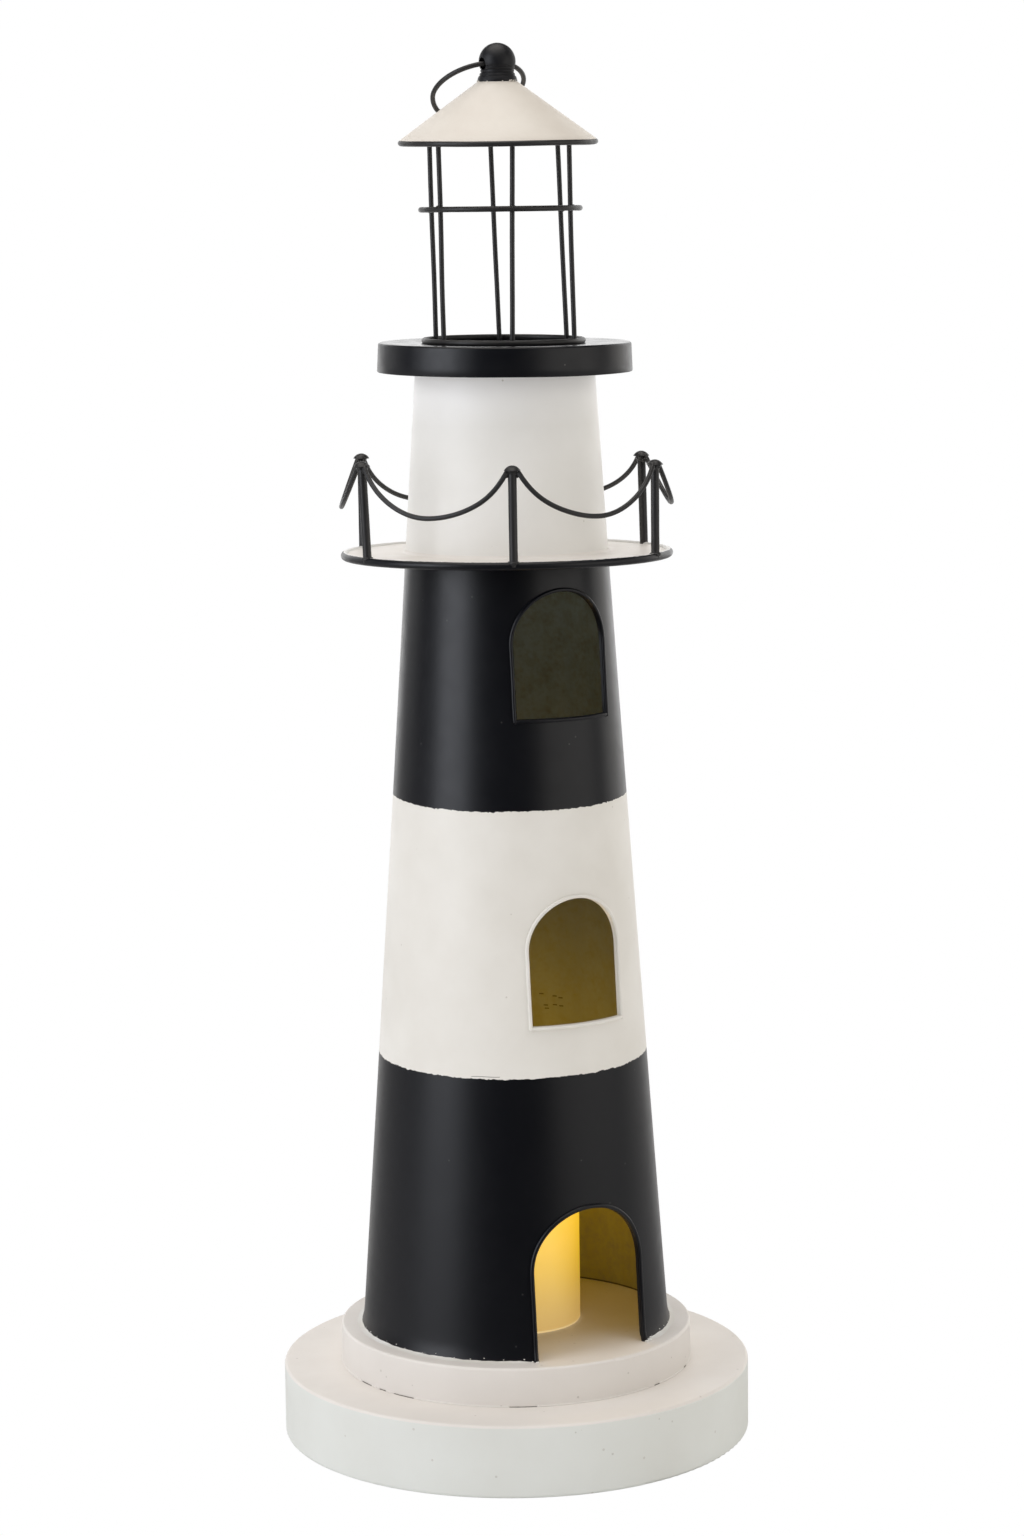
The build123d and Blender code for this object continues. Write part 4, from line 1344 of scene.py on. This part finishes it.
def build_lift_ring():
    """The carrying ring through the finial, turned about the finial's hole."""
    lowest, highest = box("lift_ring")
    radius = highest.x - RING_WIRE_R
    far = Vector((0.0, highest.y - RING_WIRE_R, lowest.z + RING_WIRE_R - HINGE_Z))
    tilt = math.atan2(-far.z, far.y)
    reach = Vector((0.0, math.cos(tilt), -math.sin(tilt)))
    up = Vector((0.0, math.sin(tilt), math.cos(tilt)))
    centre = Vector((0.0, 0.0, HINGE_Z)) + reach * (far.length - radius)
    points = []
    count = 160
    for k in range(count):
        turn = 2.0 * math.pi * k / count
        point = centre + Vector((radius * math.cos(turn), 0, 0)) + reach * (radius * math.sin(turn))
        sag = RING_SAG * smooth_step(0.3, 1.0, math.sin(turn))
        points.append(on_roof(tipped(point - up * sag, HINGE_Z, *RING_SEAT) + RING_SLIDE))
    shape = Shape()
    shape.tube(points, CARRY_RING_COAT * RING_WIRE_R, closed=True, lumps=0.01, seed=6.0)
    shape.piece("carry_ring", BLACK_WIRE, "ring_wire", ["lift_ring"], body="lift_ring")


# Base

# Where the paint over the boards' joint has cracked open: first and last angle in degrees
JOINT_CRACKS = [(-91.0, -85.0), (-81.0, -77.5), (-74.0, -65.5), (-33.5, -24.5), (19.0, 22.0), (40.0, 43.0),
                (88.0, 97.0), (131.0, 140.0), (188.0, 194.0), (222.0, 231.0)]
JOINT_BEAD_R = 0.42 * MM
CRACK_LINE_R = 0.14 * MM


def ring_arc(start, end, radius, z):
    """Points along part of a level ring, angles in degrees."""
    steps = max(6, round(end - start))
    turns = [math.radians(start + (end - start) * i / steps) for i in range(steps + 1)]
    return [polar(turn, radius, z) for turn in turns]


def build_joint_paint():
    """Paint that bridges the joint between the two boards, and the dark lines where it has cracked."""
    radius = high("base_step").x
    ends = [first for first, _ in JOINT_CRACKS[1:]] + [JOINT_CRACKS[0][0] + 360.0]
    shape = Shape()
    for index, (_, last) in enumerate(JOINT_CRACKS):
        path = ring_arc(last, ends[index], radius - 0.1 * MM, PLINTH_TOP + 0.18 * MM)
        shape.tube(path, JOINT_BEAD_R, sides=10, lumps=0.12, seed=index)
    painted = len(shape.faces)
    for index, (first, last) in enumerate(JOINT_CRACKS):
        path = ring_arc(first, last, radius + 0.02 * MM, PLINTH_TOP + 0.05 * MM)
        shape.tube(path, CRACK_LINE_R, sides=8, lumps=0.7, seed=20.0 + index)
    shape.marks[painted:] = [1] * (len(shape.faces) - painted)
    shape.piece("joint_paint", [BASE_PAINT, JOINT_CRACK], "base_paint")


# Candle and batteries


def build_candle():
    """A hollow pillar with a recessed top, open in the middle for the flame."""
    lowest, highest = box("candle_shell")
    radius = highest.x
    wall = 2.0 * MM
    edge = 1.2 * MM
    lip = 0.8 * MM
    recess = 6.0 * MM
    hole = high("flame_bulb").x + 0.2 * MM
    inner = radius - wall
    profile = [(inner, lowest.z), (radius - 0.5 * MM, lowest.z), (radius, lowest.z + 0.5 * MM)]
    rise = highest.z - edge - lowest.z
    profile += [(radius, lowest.z + rise * t) for t in (0.15, 0.35, 0.55, 0.75, 1.0)]
    profile += arc((radius - edge, highest.z - edge), edge, 10.0, 90.0, 6)
    profile += arc((inner + 0.2 * MM, highest.z - lip), lip, 90.0, 180.0, 4)
    floor = highest.z - recess
    profile += [(inner - 1.0 * MM, floor + 1.2 * MM), (inner - 3.0 * MM, floor)]
    profile += [(hole, floor), (hole, floor - wall), (inner, floor - wall)]

    def waxy(point):
        return point + Vector((point.x, point.y, 0.0)).normalized() * 0.15 * MM * rough(point, 0.02, 5.0)

    shape = Shape()
    shape.lathe(profile, waxy, 128, closed=True)
    shape.piece("candle", CANDLE_WAX, "candle_wax", ["candle_shell"], sharp=50.0)


def build_springs():
    """Two coned coils at the battery contacts."""
    lowest, highest = box("contact_springs")
    radius = (highest.z - lowest.z) / 2 - 0.5 * MM
    z = (lowest.z + highest.z) / 2
    length = 3.0 * MM
    wire_r = 0.4 * MM
    turns = 4.0
    steps = 96
    shape = Shape()
    for x, side, cell in ((lowest.x, 1.0, "battery_cell_1"), (highest.x, -1.0, "battery_cell_2")):
        y = middle(cell).y
        path = []
        for i in range(steps + 1):
            t = i / steps
            turn = 2.0 * math.pi * turns * t
            r = radius * (1.0 - 0.45 * t)
            along = x + side * (0.5 * MM + length * t)
            path.append((along, y + r * math.cos(turn), z + r * math.sin(turn)))
        shape.tube(path, wire_r, sides=10)
    shape.piece("contact_coils", CONTACT, "contact_steel", ["contact_springs"])


# Finish of the pieces that keep their CAD shape
CAD_FINISH = {
    "base_plinth": BASE_PAINT, "base_step": BASE_PAINT,
    "finial_screw": STEEL, "finial_washer": STEEL, "base_screws": STEEL, "plug_screws": STEEL,
    "tray_screws": STEEL, "contact_plates": CONTACT, "battery_tray": TRAY, "battery_door": TRAY,
    "battery_cell_1": CELL_SLEEVE, "battery_cell_2": CELL_SLEEVE,
    "switch_body": moulded("switch_plastic", (0.05, 0.05, 0.05)),
    "switch_slider": moulded("slider_plastic", (0.62, 0.61, 0.58), (0.25, 0.35)),
    "candle_plug": moulded("plug_plastic", (0.72, 0.69, 0.6)),
    "led_board": moulded("board_green", (0.02, 0.13, 0.05), (0.3, 0.4)),
    "led_leads": moulded("lead_sleeve", (0.25, 0.02, 0.02), (0.35, 0.45)),
    "led": glowing("lamp_lens", (0.9, 0.8, 0.5), (1.0, 0.75, 0.3), 3.0),
    "flame_bulb": glowing("flame_plastic", (0.85, 0.7, 0.4), (1.0, 0.62, 0.12), 3.0),
}


def finish_cad():
    """Puts these finishes on their pieces."""
    for name, material in CAD_FINISH.items():
        mesh = frame["nodes"][name].data
        mesh.materials.clear()
        mesh.materials.append(material)


# Studio

# The camera: distance from the tower's axis, height, place to the right, downward tilt, roll, focal length in
# millimetres
CAMERA_DISTANCE = 1.3599
CAMERA_HEIGHT = 0.4453
CAMERA_SIDE = 0.00096
CAMERA_PITCH = math.radians(7.86)
CAMERA_ROLL = math.radians(-0.67)
CAMERA_LENS = 84.51
# What the soft boxes point at, and the candle's power in watts
LIGHT_AIM = Vector((0, 0, 0.27))
CANDLE_POWER = 0.0084


def studio_direction(turn, rise):
    """A direction by degrees to the camera's right and degrees up."""
    up = math.radians(rise)
    return polar(FRONT + math.radians(turn), math.cos(up), math.sin(up))


def build_camera():
    data = bpy.data.cameras.new("photo_camera")
    data.lens = CAMERA_LENS
    data.sensor_width = 36.0
    data.clip_start = 0.05
    camera = add_object("photo_camera", data)
    camera.location = FRONT_WAY * CAMERA_DISTANCE + RIGHT_WAY * CAMERA_SIDE + Vector((0, 0, CAMERA_HEIGHT))
    look = -FRONT_WAY * math.cos(CAMERA_PITCH) - Vector((0, 0, math.sin(CAMERA_PITCH)))
    camera.rotation_mode = "QUATERNION"
    turn = look.to_track_quat("-Z", "Y") @ Quaternion((0, 0, 1), CAMERA_ROLL)
    camera.rotation_quaternion = turn
    bpy.context.scene.camera = camera


# Soft boxes: degrees to the viewer's right, degrees up, distance, width, height, brightness, colour
PANELS = {
    "left_box": (-59.5, 13.0, 1.8, 1.1, 1.6, 2.7, (0.90, 0.93, 1.0)),
    "left_sheet": (-62.0, 8.0, 2.0, 2.4, 1.8, 0.12, (0.95, 0.965, 1.0)),
    "right_box": (62.0, 8.0, 1.9, 2.2, 1.8, 0.82, (1.0, 0.965, 0.91)),
    "back_left_box": (-124.0, 14.0, 2.0, 0.9, 1.2, 0.6, (1.0, 1.0, 1.0)),
    "back_right_box": (128.0, 10.0, 2.0, 1.4, 1.8, 0.95, (1.0, 0.97, 0.93)),
    "top_box": (-70.0, 86.0, 1.7, 2.0, 1.6, 2.0, (1.0, 0.955, 0.905)),
    "backdrop": (180.0, 8.0, 2.4, 3.6, 2.0, 1.45, (1.0, 1.0, 1.0)),
}


def panel(name, turn, rise, distance, width, height, glow, colour):
    """A soft box; glow is how bright its face is, where 1 is white."""
    data = bpy.data.lights.new(name, "AREA")
    data.shape = "RECTANGLE"
    data.size = width
    data.size_y = height
    data.energy = glow * math.pi * width * height
    data.color = colour
    lamp = add_object(name, data)
    lamp.location = LIGHT_AIM + studio_direction(turn, rise) * distance
    lamp.rotation_mode = "QUATERNION"
    lamp.rotation_quaternion = (LIGHT_AIM - lamp.location).to_track_quat("-Z", "Y")
    lamp.visible_camera = False


def build_lights():
    for name, setting in PANELS.items():
        panel(name, *setting)
    data = bpy.data.lights.new("candle_light", "POINT")
    data.energy = CANDLE_POWER
    data.color = (1.0, 0.72, 0.16)
    data.shadow_soft_size = 6.0 * MM
    glow = add_object("candle_light", data)
    glow.location = (0.0, 0.0, high("flame_bulb").z + 8.0 * MM)
    glow.visible_camera = False


def floor_gleam(tree):
    """What gloss mirrors of the floor: pale all round, dark where the viewer stands."""
    facing = toward_front(use_group(tree, ROUND_PLACE))
    front = ramp(facing, math.cos(math.radians(50.0)), math.cos(math.radians(25.0)), 0.0, 1.0)
    behind = ramp(facing, -0.96, -0.7, 1.0, 0.0)
    pale = blend(behind, (0.32, 0.32, 0.32), (0.9, 0.9, 0.9))
    return blend(front, pale, (0.03, 0.03, 0.03))


# The floor is open under the plinth, as a share of its radius, so that the underside can be seen
FLOOR_HOLE = 0.985
FLOOR_REACH = 9.0


def build_floor():
    mesh = bpy.data.meshes.new("studio_floor")
    build = bmesh.new()
    sides = 128
    inner, outer = [[build.verts.new(point) for point in circle(radius, 0.0, sides)]
                    for radius in (FLOOR_HOLE * high("base_plinth").x, FLOOR_REACH)]
    for i in range(sides):
        build.faces.new((inner[i], outer[i], outer[(i + 1) % sides], inner[(i + 1) % sides]))
    bmesh.ops.recalc_face_normals(build, faces=build.faces)
    build.to_mesh(mesh)
    build.free()
    made = new_material("studio_floor", Roughness=0.9, Specular_IOR_Level=0.1)
    tree = made.node_tree
    path = node(tree, "LightPath")
    shade = blend(path["Is Glossy Ray"], (0.92, 0.92, 0.92), floor_gleam(tree))
    feed(principled(made).inputs["Base Color"], shade)
    matt = Outputs(tree, principled(made))[0]
    white = node(tree, "Emission", {"Strength": 1.0})[0]
    mix = node(tree, "MixShader", {0: path["Is Camera Ray"], 1: matt, 2: white})[0]
    feed(tree.nodes["Material Output"].inputs["Surface"], mix)
    mesh.materials.append(made)
    floor = add_object("studio_floor", mesh)


# Strength of the room's light on matt faces, and of what gloss mirrors of it
ROOM_LIGHT = 0.42
ROOM_GLEAM = 0.02


def build_world():
    """White behind the object, an even room for matt light, and little for gloss to mirror."""
    world = bpy.data.worlds.new("studio")
    bpy.context.scene.world = world
    world.use_nodes = True
    world.cycles.sampling_method = "NONE"
    tree = world.node_tree
    path = node(tree, "LightPath")
    seen = path["Is Camera Ray"].math("MAXIMUM", path["Is Transmission Ray"])
    strength = ramp(path["Is Glossy Ray"], 0.0, 1.0, ROOM_LIGHT, ROOM_GLEAM).math("MAXIMUM", seen)
    sockets = tree.nodes["Background"].inputs
    feed(sockets["Color"], (1.0, 1.0, 1.0, 1.0))
    feed(sockets["Strength"], strength)


build_tower()
build_trim("door_frame", BLACK_TRIM, "black_wire")
build_trim("lower_window_frame", CREAM_WIRE, "cream_wire")
build_trim("upper_window_frame", BLACK_TRIM, "black_wire")
build_filler()
build_gallery()
for number in range(len(POSTS)):
    build_post(number)
    build_swag(number)
build_deck()
build_lantern()
build_roof()
build_finial()
build_lift_ring()
build_joint_paint()
build_candle()
build_springs()
finish_cad()
build_camera()
build_lights()
build_floor()
build_world()
bpy.context.scene.view_settings.view_transform = "Standard"
